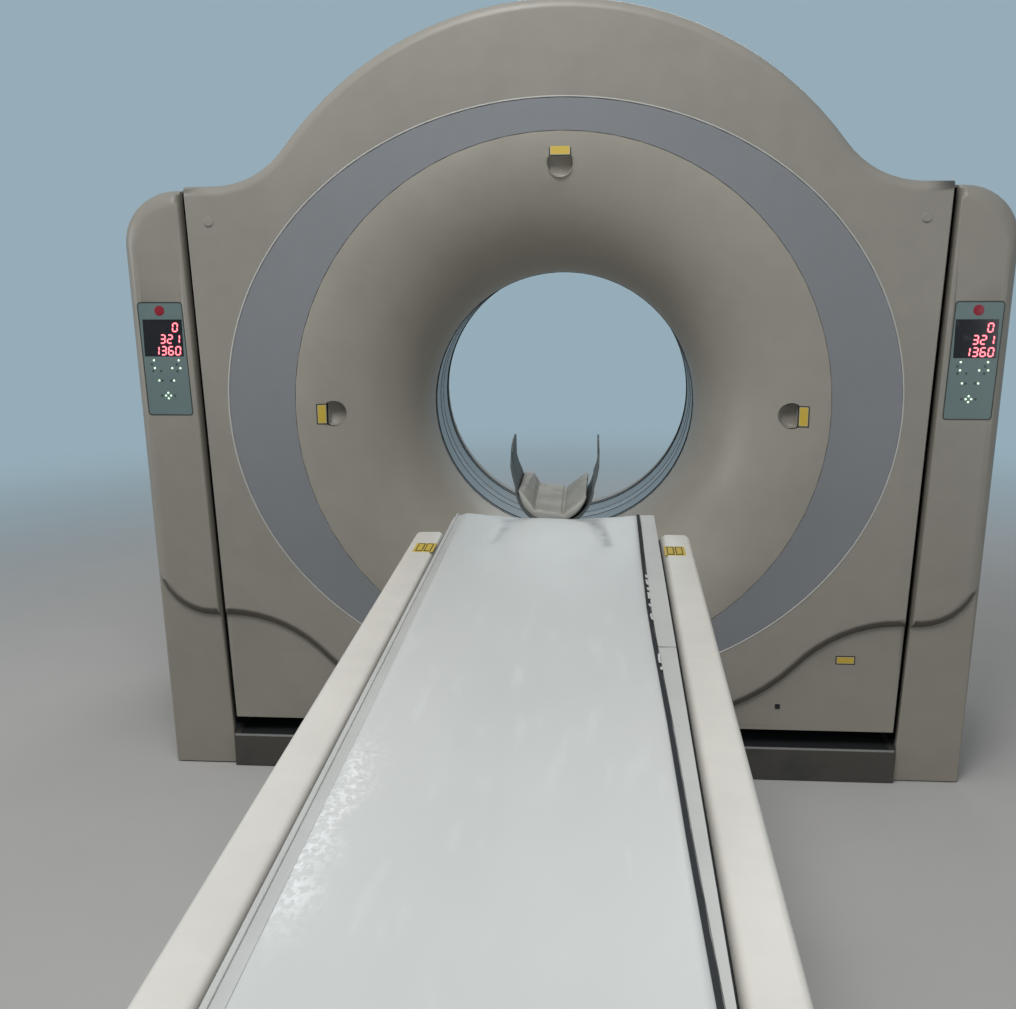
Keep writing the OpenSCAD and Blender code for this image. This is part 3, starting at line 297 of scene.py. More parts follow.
@dataclass(frozen=True)
class Moulded(Finish):
    """Painted moulded cover: fine stipple, soft tone changes, dust low down, and painted shade on
    faces that look down.
    """

    soil_and_shade: Colour = (0.42, 0.37, 0.30)
    roughness: float = 0.42
    stipple: float = 0.00005
    cloud: float = 0.06
    dust_height: float = 0.30
    # Share of painted shade on faces that look down.
    down_shade: float = 0.0
    shadow: Colour = (0.055, 0.045, 0.035)

    def fill(self, paint: Paint) -> None:
        """Sets the shader up, with painted shade on faces that look down where the finish asks for
        it.

        Args:
            paint: Paint of the material.
        """
        tone = paint.grain(2.3, 3.0) * 0.7 + paint.grain(19.0) * 0.3
        colour = paint.blend(tone.ramp(0.35, 0.65), tinted(self.colour, 1 - self.cloud),
                             tinted(self.colour, 1 + self.cloud * 0.5))
        low = 1 - paint.axis(2).ramp(0.05, self.dust_height)
        specks = paint.grain(150.0, 3.0).ramp(0.63, 0.72)
        colour = paint.blend(low * 0.10 + specks * 0.05, colour, self.soil_and_shade)
        # Painted shade: faces that look down, such as the step below the wave, are darkened
        # towards the shadow colour.
        if self.down_shade:
            facing = paint.read("Normal", "ShaderNodeTexCoord")
            down = (0.0 - paint.read("Z", "ShaderNodeSeparateXYZ", Vector=facing)).ramp(0.03, 0.24)
            colour = paint.blend(down * self.down_shade, colour, self.shadow)
        rough = paint.grain(7.0, 3.0) * 0.14 + (self.roughness - 0.07)
        paint.set(Base_Color=colour, Roughness=rough)
        paint.relief(paint.grain(900.0, 1.0) * 0.6 + paint.grain(260.0) * 0.4, self.stipple)


@dataclass(frozen=True)
class Sheet(Finish):
    """Brushed sheet metal with scuffs and grime."""

    roughness: float = 0.42
    stretch: Point = (0.02, 1.0, 1.0)
    metallic: float = 0.85
    grime: float = 0.35
    scratch: float = 0.00004

    def fill(self, paint: Paint) -> None:
        """Sets the shader up.

        Args:
            paint: Paint of the material.
        """
        lines = paint.grain(600.0, stretch=self.stretch)
        stain = paint.grain(9.0, 4.0).ramp(0.5, 0.72)
        colour = paint.blend(stain * self.grime, self.colour, tinted(self.colour, 0.45))
        rough = lines * 0.2 + stain * 0.16 + (self.roughness - 0.1)
        paint.set(Base_Color=colour, Metallic=self.metallic, Roughness=rough)
        paint.relief(lines, self.scratch)


@dataclass(frozen=True)
class Coated(Finish):
    """Powder coat, cast paint or plain plastic with a visible grain."""

    roughness: float = 0.55
    metallic: float = 0.0
    grain: float = 420.0
    depth: float = 0.00008
    wear: float = 0.12

    def fill(self, paint: Paint) -> None:
        """Sets the shader up.

        Args:
            paint: Paint of the material.
        """
        patch = paint.grain(14.0, 4.0).ramp(0.45, 0.75)
        colour = paint.blend(patch * self.wear, self.colour, tinted(self.colour, 1.35, 0.02))
        rough = paint.grain(30.0) * 0.16 + (self.roughness - 0.08)
        paint.set(Base_Color=colour, Metallic=self.metallic, Roughness=rough)
        paint.relief(paint.grain(self.grain), self.depth)


@dataclass(frozen=True)
class Film(Finish):
    """Vinyl mat beneath a clear film, with long creases, wiped streaks, painted shade along the
    far creases and painted glints where the film is crumpled.
    """

    tint: Colour
    roughness: float = 0.34
    crease: float = 0.0006
    streaked: Colour = (0.95, 0.96, 0.96)
    # Colour of the painted shade along the creases.
    crease_shade: Colour = (0.27, 0.29, 0.29)
    # Painted highlight: colour of the glints on the crumpled strip.
    painted_glint_colour: Colour = (0.97, 0.985, 0.98)

    def fill(self, paint: Paint) -> None:
        """Sets the shader up, with the mesh's two marks: one paints shade along the creases, the
        other makes the film crumpled and paints glints on it.

        Args:
            paint: Paint of the material.
        """
        patch = paint.grain(3.0, 3.0, (1.6, 0.6, 1.0)).ramp(0.35, 0.68)
        streak = paint.grain(40.0, 3.0, (1.0, 0.16, 1.0)).ramp(0.55, 0.75)
        # Pattern of the painted glints.
        painted_glint_spots = paint.grain(105.0, 3.0, (1.5, 0.8, 1.0)).ramp(0.47, 0.60)
        crumple_and_glint = paint.mark("crumple_and_glint")
        colour = paint.blend(patch * 0.5, self.colour, self.tint)
        colour = paint.blend(streak * 0.10, colour, self.streaked)
        # Painted shade along the creases at the far end.
        colour = paint.blend(paint.mark("soil_and_shade") * 0.55, colour, self.crease_shade)
        # Painted glints on the crumpled strip.
        colour = paint.blend(crumple_and_glint * (painted_glint_spots * 0.75 + 0.25), colour, self.painted_glint_colour)
        rough = (streak * 0.12 + patch * 0.06 + (self.roughness - 0.05)) - crumple_and_glint * 0.14
        paint.set(Base_Color=colour, Roughness=rough)
        folds = paint.cells(9.0, (1.3, 0.55, 1.0)).ramp(0.0, 0.16)
        wide = paint.grain(7.0, 3.0, (1.0, 0.5, 1.0))
        wrinkle = (paint.grain(95.0, 3.0, (0.9, 1.25, 1.0)) * 3.2
                   + paint.grain(260.0, stretch=(0.7, 1.2, 1.0)))
        paint.relief(folds * 0.12 + wide * 0.7 + wrinkle * crumple_and_glint, self.crease)


@dataclass(frozen=True)
class Hide(Finish):
    """Soft vinyl with a leather grain and worn creases, and a paler front rim that is a painted
    highlight on the pad's front.
    """

    # Painted highlight: colour of the pad's front rim.
    rim: Colour = (0.56, 0.555, 0.51)
    rim_y: float = -0.718
    roughness: float = 0.48
    crease: float = 0.00035

    def fill(self, paint: Paint) -> None:
        """Sets the shader up.

        Args:
            paint: Paint of the material.
        """
        patch = paint.grain(22.0, 4.0).ramp(0.4, 0.7)
        worn = paint.blend(patch * 0.6, self.colour, tinted(self.colour, 0.72))
        # Painted highlight: the pad is paler in front of its rim line.
        rim = 1 - paint.axis(1).ramp(self.rim_y - 0.003, self.rim_y)
        rough = patch * 0.14 + (self.roughness - 0.07)
        paint.set(Base_Color=paint.blend(rim, worn, self.rim), Roughness=rough)
        cells = paint.cells(900.0).ramp(0.0, 0.25)
        paint.relief(cells * 0.5 + paint.grain(60.0, 3.0) * 0.9, self.crease)


@dataclass(frozen=True)
class Glow(Finish):
    """Lit segment or lamp behind a dark window."""

    strength: float = 2.0

    def fill(self, paint: Paint) -> None:
        """Sets the shader up.

        Args:
            paint: Paint of the material.
        """
        flicker = paint.grain(400.0, 1.0).ramp(0.2, 0.8)
        colour = paint.blend(flicker, tinted(self.colour, 0.8), self.colour)
        paint.set(Base_Color=colour, Emission_Color=colour, Emission_Strength=self.strength,
                  Roughness=0.4)


@dataclass(frozen=True)
class Pane(Finish):
    """Smooth dark or tinted window."""

    alpha: float = 1.0
    roughness: float = 0.12

    def fill(self, paint: Paint) -> None:
        """Sets the shader up.

        Args:
            paint: Paint of the material.
        """
        smear = paint.grain(60.0, 3.0).ramp(0.5, 0.75)
        colour = paint.blend(smear * 0.3, self.colour, tinted(self.colour, 1.0, 0.02))
        paint.set(Base_Color=colour, Roughness=smear * 0.12 + self.roughness, Alpha=self.alpha)


PRINTED = {"grain": 1500.0, "depth": 0.00002}
FINISHES = {finish.name: finish for finish in (
    # The two cover finishes paint shade on their downward faces.
    Moulded("cover_cream", (0.36, 0.337, 0.292), down_shade=0.85),
    Moulded("pillar_cream", (0.355, 0.332, 0.286), dust_height=0.5, down_shade=0.85),
    Moulded("funnel_cream", (0.40, 0.374, 0.32), dust_height=0.06),
    Moulded("rail_cream", (0.79, 0.765, 0.70), roughness=0.36, dust_height=0.06),
    Moulded("ring_blue", (0.27, 0.284, 0.302), soil_and_shade=(0.3, 0.3, 0.3), cloud=0.03),
    Moulded("liner_blue", (0.24, 0.285, 0.31), roughness=0.3, dust_height=0.06),
    Moulded("cradle_carbon", (0.60, 0.605, 0.585), roughness=0.3, dust_height=0.06),
    Moulded("strip_grey", (0.60, 0.605, 0.58), roughness=0.4, dust_height=0.06),
    Pane("window_clear", (0.60, 0.68, 0.73), 0.55),
    Pane("display_black", (0.010, 0.006, 0.008)),
    Coated("panel_blue_grey", (0.172, 0.242, 0.238), 0.42, **PRINTED),
    Coated("dark_plastic", (0.055, 0.05, 0.045), 0.5),
    Coated("seam_black", (0.012, 0.012, 0.013), 0.7),
    Coated("frame_grey", (0.16, 0.175, 0.20)),
    Coated("edge_grey", (0.33, 0.33, 0.32), 0.35, 0.3),
    Coated("motor_dark", (0.07, 0.075, 0.085), 0.5),
    Coated("unit_grey", (0.30, 0.32, 0.34), 0.45),
    Coated("lead_grey", (0.10, 0.10, 0.105), 0.7, 0.4, 120.0, 0.0004),
    Coated("belt_rubber", (0.02, 0.02, 0.022), 0.75, grain=900.0),
    Coated("roller_rubber", (0.035, 0.035, 0.036), 0.7, grain=700.0),
    Coated("holder_grey", (0.10, 0.115, 0.112), 0.5, grain=1100.0, depth=0.00003),
    Coated("duct_grey", (0.36, 0.35, 0.33)),
    Coated("label_yellow", (0.70, 0.50, 0.07), 0.4, **PRINTED),
    Coated("label_pale", (0.62, 0.56, 0.36), 0.4, **PRINTED),
    Coated("label_border", (0.02, 0.017, 0.01), 0.45, **PRINTED),
    Coated("lamp_red", (0.33, 0.012, 0.03), 0.35, **PRINTED),
    Coated("key_dark", (0.06, 0.085, 0.075), 0.45, **PRINTED),
    Coated("tape_white", (0.66, 0.66, 0.64), 0.4, grain=300.0, depth=0.0003),
    Sheet("plinth_grey", (0.098, 0.092, 0.082), 0.45, metallic=0.45),
    Sheet("bright_steel", (0.60, 0.61, 0.62), 0.3, metallic=1.0, grime=0.12),
    Sheet("rotor_aluminium", (0.66, 0.67, 0.69), 0.38, (1.0, 1.0, 0.05), 1.0, 0.12),
    Film("mat_vinyl", (0.685, 0.705, 0.685), (0.61, 0.64, 0.63)),
    Hide("pad_beige", (0.42, 0.41, 0.365)),
    Glow("digit_red", (1.0, 0.10, 0.16), 1.5),
    Glow("digit_core", (1.0, 0.52, 0.56), 1.3),
    Glow("lamp_green", (0.72, 1.0, 0.74), 1.1),
)}


@lru_cache(maxsize=None)
def material(finish: str) -> bpy.types.Material:
    """Builds the material of a finish, once.

    Args:
        finish: Name of the finish.

    Returns:
        The material.
    """
    paint = Paint(finish)
    FINISHES[finish].fill(paint)
    return paint.material


# Steps of modelling with Blender's operators, for one piece at a time


MODES = {"verts": "VERT", "edges": "EDGE", "faces": "FACE"}


def clear() -> None:
    """Deselects everything."""
    if bpy.context.mode != "OBJECT":
        bpy.ops.object.mode_set(mode="OBJECT")
    bpy.ops.object.select_all(action="DESELECT")


def take(obj: Piece) -> None:
    """Makes obj the only selected and the active object."""
    clear()
    obj.select_set(True)
    bpy.context.view_layer.objects.active = obj


def start(name: str, add: Callable[..., object], **options: object) -> Piece:
    """Adds a primitive.

    Args:
        name: Name of the new piece.
        add: Operator that adds the primitive.
        options: Options of that operator.

    Returns:
        The new object, with its size and place in its mesh.
    """
    clear()
    add(**options)
    obj = bpy.context.active_object
    obj.name = obj.data.name = name
    bpy.ops.object.transform_apply(location=True, rotation=True, scale=True)
    return obj


def cube(name: str, at: Point, size: Point) -> Piece:
    """A box called name, of a size and centred at a place."""
    return start(name, bpy.ops.mesh.primitive_cube_add, size=1.0, location=at, scale=size)


def disc(
    name: str, at: Point, radius: float, depth: float, vertices: int,
    *insets: Tuple[float, float], rear: bool = False,
) -> Piece:
    """A short cylinder along Y, with steps pressed into its face.

    Args:
        name: Name of the piece.
        at: Centre.
        radius: Radius.
        depth: Size along Y.
        vertices: Number of sides.
        insets: Thickness and depth of each step, from the rim inwards.
        rear: Whether the face looks to the rear.

    Returns:
        The disc.
    """
    sign = -1 if rear else 1
    obj = start(name, bpy.ops.mesh.primitive_cylinder_add, vertices=vertices, radius=radius,
                depth=depth, location=at, rotation=(sign * FACE_FRONT[0], 0, 0))
    return edit(obj, "faces", lambda f: f.normal.y * sign < -0.9, *(
        lambda step=step: bpy.ops.mesh.inset(thickness=step[0], depth=step[1])
        for step in insets))


def ring(name: str, at: Point, radius: float, minor: float, sides: Tuple[int, int]) -> Piece:
    """A torus round an axis along Y.

    Args:
        name: Name of the piece.
        at: Centre.
        radius: Radius of the ring.
        minor: Radius of its section.
        sides: Number of sides round the ring and round its section.

    Returns:
        The ring.
    """
    return start(name, bpy.ops.mesh.primitive_torus_add, location=at, rotation=FACE_FRONT,
                 major_radius=radius, minor_radius=minor,
                 major_segments=sides[0], minor_segments=sides[1])


def edit(obj: Piece, kind: str, test: Test, *steps: Step) -> Piece:
    """Selects elements by a test in edit mode and runs steps on them.

    Args:
        obj: Piece to edit.
        kind: "verts", "edges" or "faces".
        test: Says of an element whether it is selected.
        steps: Calls of operators, run in order.

    Returns:
        The same piece.
    """
    take(obj)
    bpy.ops.object.mode_set(mode="EDIT")
    bpy.ops.mesh.select_mode(type=MODES[kind])
    bpy.ops.mesh.select_all(action="DESELECT")
    mesh = bmesh.from_edit_mesh(obj.data)
    for item in getattr(mesh, kind):
        if test(item):
            item.select_set(True)
    mesh.select_flush_mode()
    bmesh.update_edit_mesh(obj.data)
    for step in steps:
        step()
    bpy.ops.object.mode_set(mode="OBJECT")
    return obj


def bevel(obj: Piece, test: Test, offset: float, segments: int) -> None:
    """Rounds the edges that pass a test, by offset in metres."""
    edit(obj, "edges", test, lambda: bpy.ops.mesh.bevel(
        offset=offset, segments=segments, affect="EDGES"))


def shift(obj: Piece, test: Test, along_x: float) -> None:
    """Moves the points that pass a test along X."""
    edit(obj, "verts", test, lambda: bpy.ops.transform.translate(value=(along_x, 0, 0)))


def modify(obj: Piece, kind: str, **settings: object) -> None:
    """Adds a modifier and applies it.

    Args:
        obj: Piece that gets the modifier.
        kind: Type of the modifier.
        settings: Its settings.
    """
    take(obj)
    modifier = obj.modifiers.new(kind.lower(), kind)
    for key, value in settings.items():
        setattr(modifier, key, value)
    bpy.ops.object.modifier_apply(modifier=modifier.name)


def turn(obj: Piece, angle: float, axis: str, centre: Point) -> None:
    """Turns a finished mesh by angle in degrees about a centre that stays in place."""
    move = Matrix.Translation(centre)
    obj.data.transform(move @ Matrix.Rotation(math.radians(angle), 4, axis) @ move.inverted())


def smooth(obj: Piece, angle: float) -> None:
    """Shades smooth over edges flatter than angle in degrees."""
    take(obj)
    bpy.ops.object.shade_smooth_by_angle(angle=math.radians(angle))


def join(name: str, parts: Sequence[Piece]) -> Piece:
    """Joins parts into one piece.

    Args:
        name: Name of the joined piece.
        parts: Objects to join.

    Returns:
        The joined object.
    """
    take(parts[0])
    for part in parts[1:]:
        part.select_set(True)
    bpy.ops.object.join()
    obj = bpy.context.active_object
    obj.name = obj.data.name = name
    return obj


def copy(obj: Piece, name: str, move: Point = (0, 0, 0)) -> Piece:
    """Copies a piece with its own mesh.

    Args:
        obj: Piece to copy.
        name: Name of the copy.
        move: Offset of the copy.

    Returns:
        The copy.
    """
    made = bpy.data.objects.new(name, obj.data.copy())
    made.data.name = name
    bpy.context.scene.collection.objects.link(made)
    made.data.transform(Matrix.Translation(move))
    return made


def merged(node: str, name: str) -> Piece:
    """A copy, called name, of one of the frame's nodes, with its doubled points merged."""
    obj = copy(frame["nodes"][node], name)
    return edit(obj, "verts", lambda v: True,
                lambda: bpy.ops.mesh.remove_doubles(threshold=MERGE))


def plate(
    name: str, size: Point, at: Point, corner: float, edge: float = 0.0, lean: float = 0.0
) -> Piece:
    """A plate in the XZ plane with round corners and soft front edges.

    Args:
        name: Name of the piece.
        size: Size along X, Y and Z.
        at: Centre.
        corner: Radius of the corners, or 0.
        edge: Radius of the front edges, or 0.
        lean: Shift of the top edge along X, or 0.

    Returns:
        The plate.
    """
    obj = cube(name, at, size)
    if lean:
        shift(obj, lambda v: v.co.z > at[2], lean)
    if corner:
        bevel(obj, lambda e: abs((e.verts[0].co - e.verts[1].co).y) > size[1] * 0.9, corner, 6)
    if edge:
        front = at[1] - size[1] * 0.49
        bevel(obj, lambda e: all(v.co.y < front for v in e.verts) and len(e.link_faces) == 2
              and abs(e.link_faces[0].normal.dot(e.link_faces[1].normal)) < 0.7, edge, 2)
    return obj


def dress(
    obj: Piece, finish: str, body: Body, angle: float = 0.0
) -> Piece:
    """Gives a piece its finish and the body that it rides on.

    Args:
        obj: The finished piece.
        finish: Name of the finish.
        body: Body that carries the piece.
        angle: Angle in degrees up to which edges are shaded smooth, or 0.

    Returns:
        The same piece.
    """
    if angle:
        smooth(obj, angle)
    obj.data.materials.clear()
    obj.data.materials.append(material(finish))
    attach(obj, body.value)
    LOG.info("%s: %d faces, finish %s", obj.name, len(obj.data.polygons), finish)
    return obj


# The frame's own nodes


@dataclass
class Shells:
    """Visible covers and rigid parts of the frame, merged and smoothly shaded."""

    flat_angle: float = 32.0
    round_angle: float = 75.0
    finishes: Tuple[Tuple[str, str], ...] = (
        ("left_pillar_cover", "pillar_cream"), ("right_pillar_cover", "pillar_cream"),
        ("front_funnel", "funnel_cream"), ("rear_funnel", "funnel_cream"),
        # Painted shade: the base frame takes the dark motor finish so that the gap between the
        # skirt and the plinths reads black.
        ("laser_windows", "funnel_cream"), ("base_frame", "motor_dark"),
    )
    rounded: Tuple[str, ...] = ("left_rail", "right_rail", "foot_cap")
    plain: Tuple[str, ...] = (
        "front_cover", "rear_cover", "top_cover", "side_covers", "left_pillar_cover",
        "right_pillar_cover", "front_funnel", "rear_funnel", "ring_trim", "left_rail",
        "right_rail", "foot_cap", "lower_shroud", "middle_shroud", "upper_shroud", "cradle",
        "head_holder", "plinths", "laser_windows", "left_control_panel", "right_control_panel",
    )

    def build(self) -> None:
        """Dresses every node, and replaces the visible ones by smooth copies."""
        slots = {row["node"]: row["material_slot"] for row in frame["record"]["subparts"]}
        finishes = {**slots, **dict(self.finishes)}
        for node, obj in frame["nodes"].items():
            obj.data.materials.clear()
            obj.data.materials.append(material(finishes[node]))
        for node in self.plain:
            self.refine(node, finishes[node])

    def refine(self, node: str, finish: str) -> None:
        """Replaces one node by a merged copy with smooth shading.

        Args:
            node: Name of the frame's node.
            finish: Name of the finish.
        """
        obj = merged(node, node + "_skin")
        smooth(obj, self.round_angle if node in self.rounded else self.flat_angle)
        modify(obj, "WEIGHTED_NORMAL", keep_sharp=True)
        dress(obj, finish, Body(frame["nodes"][node]["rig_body"]))
        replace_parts(obj, node)


# Soft pieces


@dataclass
class SoftForm:
    """A foam piece that swells from its solid by a cloth simulation."""

    node: str
    name: str
    finish: str
    voxel: float
    swell: float
    pressure: float = 4.0
    stiffness: float = 12.0
    frames: int = 20
    fill: float = 0.8

    def build(self) -> None:
        """Remeshes the solid, swells it and smooths it."""
        obj = merged(self.node, self.name)
        self.prepare(obj)
        modify(obj, "REMESH", mode="VOXEL", voxel_size=self.voxel)
        modify(obj, "SMOOTH", factor=0.5, iterations=4)
        self.inflate(obj)
        modify(obj, "SUBSURF", levels=1)
        self.shape(obj)
        take(obj)
        bpy.ops.object.shade_smooth()
        dress(obj, self.finish, Body.CRADLE)
        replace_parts(obj, self.node)

    def inflate(self, obj: Piece) -> None:
        """Runs a short cloth simulation and limits how far each point moves.

        Args:
            obj: The remeshed piece.
        """
        rest = [v.co.copy() for v in obj.data.vertices]
        take(obj)
        cloth = obj.modifiers.new("cloth", "CLOTH")
        settings = cloth.settings
        settings.use_pressure = True
        settings.uniform_pressure_force = self.pressure
        settings.effector_weights.gravity = 0
        settings.tension_stiffness = settings.compression_stiffness = self.stiffness
        cloth.point_cache.frame_end = self.frames
        for step in range(1, self.frames + 1):
            bpy.context.scene.frame_set(step)
        bpy.ops.object.modifier_apply(modifier=cloth.name)
        bpy.context.scene.frame_set(1)
        for vertex, old in zip(obj.data.vertices, rest):
            move = vertex.co - old
            if move.length > self.swell:
                vertex.co = old + move * (self.swell / move.length)

    def prepare(self, obj: Piece) -> None:
        """First changes to the solid, for a piece that has any."""

    def shape(self, obj: Piece) -> None:
        """Last changes to the mesh, for a piece that has any."""


@dataclass
class Mattress(SoftForm):
    """The long mat, with a flaring right edge, soft creases, painted shade along the creases, and
    a crumpled strip with painted glints.
    """

    ripple: float = 0.0010
    crease_depth: float = 0.0012
    hinge: float = 0.10
    far_edge: float = 0.190
    far_y: float = -0.750
    slant: float = 0.042 / 2.150
    patch_x: float = -0.188
    patch_width: float = 0.021
    patch: Tuple[float, float, float, float] = (-2.52, -2.36, -2.16, -1.96)
    edge: Tuple[Tuple[float, float], ...] = (
        (-3.0, 0.2200), (-2.55, 0.2123), (-2.26, 0.2055), (-1.96, 0.2010), (-1.64, 0.1935),
        (-1.45, 0.1900), (-1.10, 0.1895), (-0.70, 0.1900),
    )
    creases: Tuple[Tuple[Tuple[float, float], ...], ...] = (
        ((-0.062, -0.752), (-0.098, -0.800), (-0.103, -0.880), (-0.118, -1.000)),
        ((0.045, -0.752), (0.086, -0.800), (0.106, -0.880), (0.120, -1.020)),
    )

    def edge_at(self, y: float) -> float:
        """X coordinate of the mat's right edge.

        Args:
            y: Place along the table.

        Returns:
            The edge there.
        """
        for (y0, x0), (y1, x1) in zip(self.edge, self.edge[1:]):
            if y <= y1:
                return x0 + (x1 - x0) * max(0.0, (y - y0) / (y1 - y0))
        return self.edge[-1][1]

    def skew(self, co: Vector, full: float, wanted: float) -> None:
        """Moves a point right of the hinge, as the edge moves from full to wanted."""
        if co.x > self.hinge:
            share = (wanted - self.hinge) / (full - self.hinge)
            co.x = self.hinge + (co.x - self.hinge) * share

    def prepare(self, obj: Piece) -> None:
        """Squares the right side, so that the remesh leaves no steps in it.

        Args:
            obj: The mat's solid.
        """
        for vertex in obj.data.vertices:
            full = self.far_edge + (self.far_y - vertex.co.y) * self.slant
            self.skew(vertex.co, full, self.far_edge)

    def shape(self, obj: Piece) -> None:
        """Trims the right edge, and adds creases and the marks that the finish reads: painted
        shade along the creases, and a crumpled strip that gets painted glints.

        Args:
            obj: The mat.
        """
        low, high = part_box(self.node)
        soil_and_shade, crumple_and_glint = (obj.data.attributes.new(name, "FLOAT", "POINT")
                         for name in ("soil_and_shade", "crumple_and_glint"))
        up = [vertex.normal.z > 0.3 for vertex in obj.data.vertices]
        full = max(vertex.co.x for vertex in obj.data.vertices)
        for index, vertex in enumerate(obj.data.vertices):
            co = vertex.co
            self.skew(co, full, self.edge_at(co.y))
            inner = clamped((0.5 * (high.x - low.x) - abs(co.x)) / 0.05)
            if up[index]:
                at = Vector((co.x * 7.0, co.y * 3.2, 0.0))
                wave = noise.noise(at) + 0.5 * noise.noise(at * 2.7 + Vector((9, 4, 1)))
                co.z += self.ripple * wave * (0.4 + 0.6 * inner)
            mark = self.crease_share(co.x, co.y)
            co.z -= self.crease_depth * mark * up[index]
            # Patchy painted shade along the creases.
            soil_and_shade.data[index].value = mark * (0.65 + 0.7 * noise.noise(co * 40.0))
            # The crumpled strip near the left edge, which gets rougher film and painted glints.
            middle = self.patch_x + 0.02 * noise.noise(co * 16.0)
            side = math.exp(-((co.x - middle) / self.patch_width) ** 2)
            along = stepped(co.y, *self.patch[:2]) * (1 - stepped(co.y, *self.patch[2:]))
            crumple_and_glint.data[index].value = side * along

    def crease_share(self, x: float, y: float) -> float:
        """How near a place is to a crease.

        Args:
            x: Place across the mat.
            y: Place along the mat.

        Returns:
            1 on a crease, falling to 0 beside it.
        """
        best = 0.0
        width = 0.010 + 0.014 * max(0.0, (y + 0.86) / 0.11)
        for line in self.creases:
            for (x0, y0), (x1, y1) in zip(line, line[1:]):
                dx, dy = x1 - x0, y1 - y0
                share = clamped(((x - x0) * dx + (y - y0) * dy) / (dx * dx + dy * dy))
                gap = math.hypot(x - x0 - dx * share, (y - y0 - dy * share) * 0.6)
                best = max(best, math.exp(-(gap / width) ** 2))
        return best


def clamped(value: float) -> float:
    """Value held between 0 and 1."""
    return min(1.0, max(0.0, value))


def stepped(value: float, low: float, high: float) -> float:
    """0 below low, 1 above high, smooth between."""
    share = clamped((value - low) / (high - low))
    return share * share * (3 - 2 * share)


@dataclass
class HeadPad(SoftForm):
    """The pad in the head holder, with two folds along it."""

    fold: float = 0.004
    fold_width: float = 0.008
    folds: Tuple[float, ...] = (-0.0455, 0.020)

    def shape(self, obj: Piece) -> None:
        """Presses two folds between the three fields of the pad.

        Args:
            obj: The pad.
        """
        up = [vertex.normal.z > 0.15 for vertex in obj.data.vertices]
        for index, vertex in enumerate(obj.data.vertices):
            for fold in self.folds:
                gap = abs(vertex.co.x - fold)
                if up[index] and gap < self.fold_width:
                    vertex.co.z -= self.fold * (1 + math.cos(math.pi * gap / self.fold_width)) / 2


# Gantry details


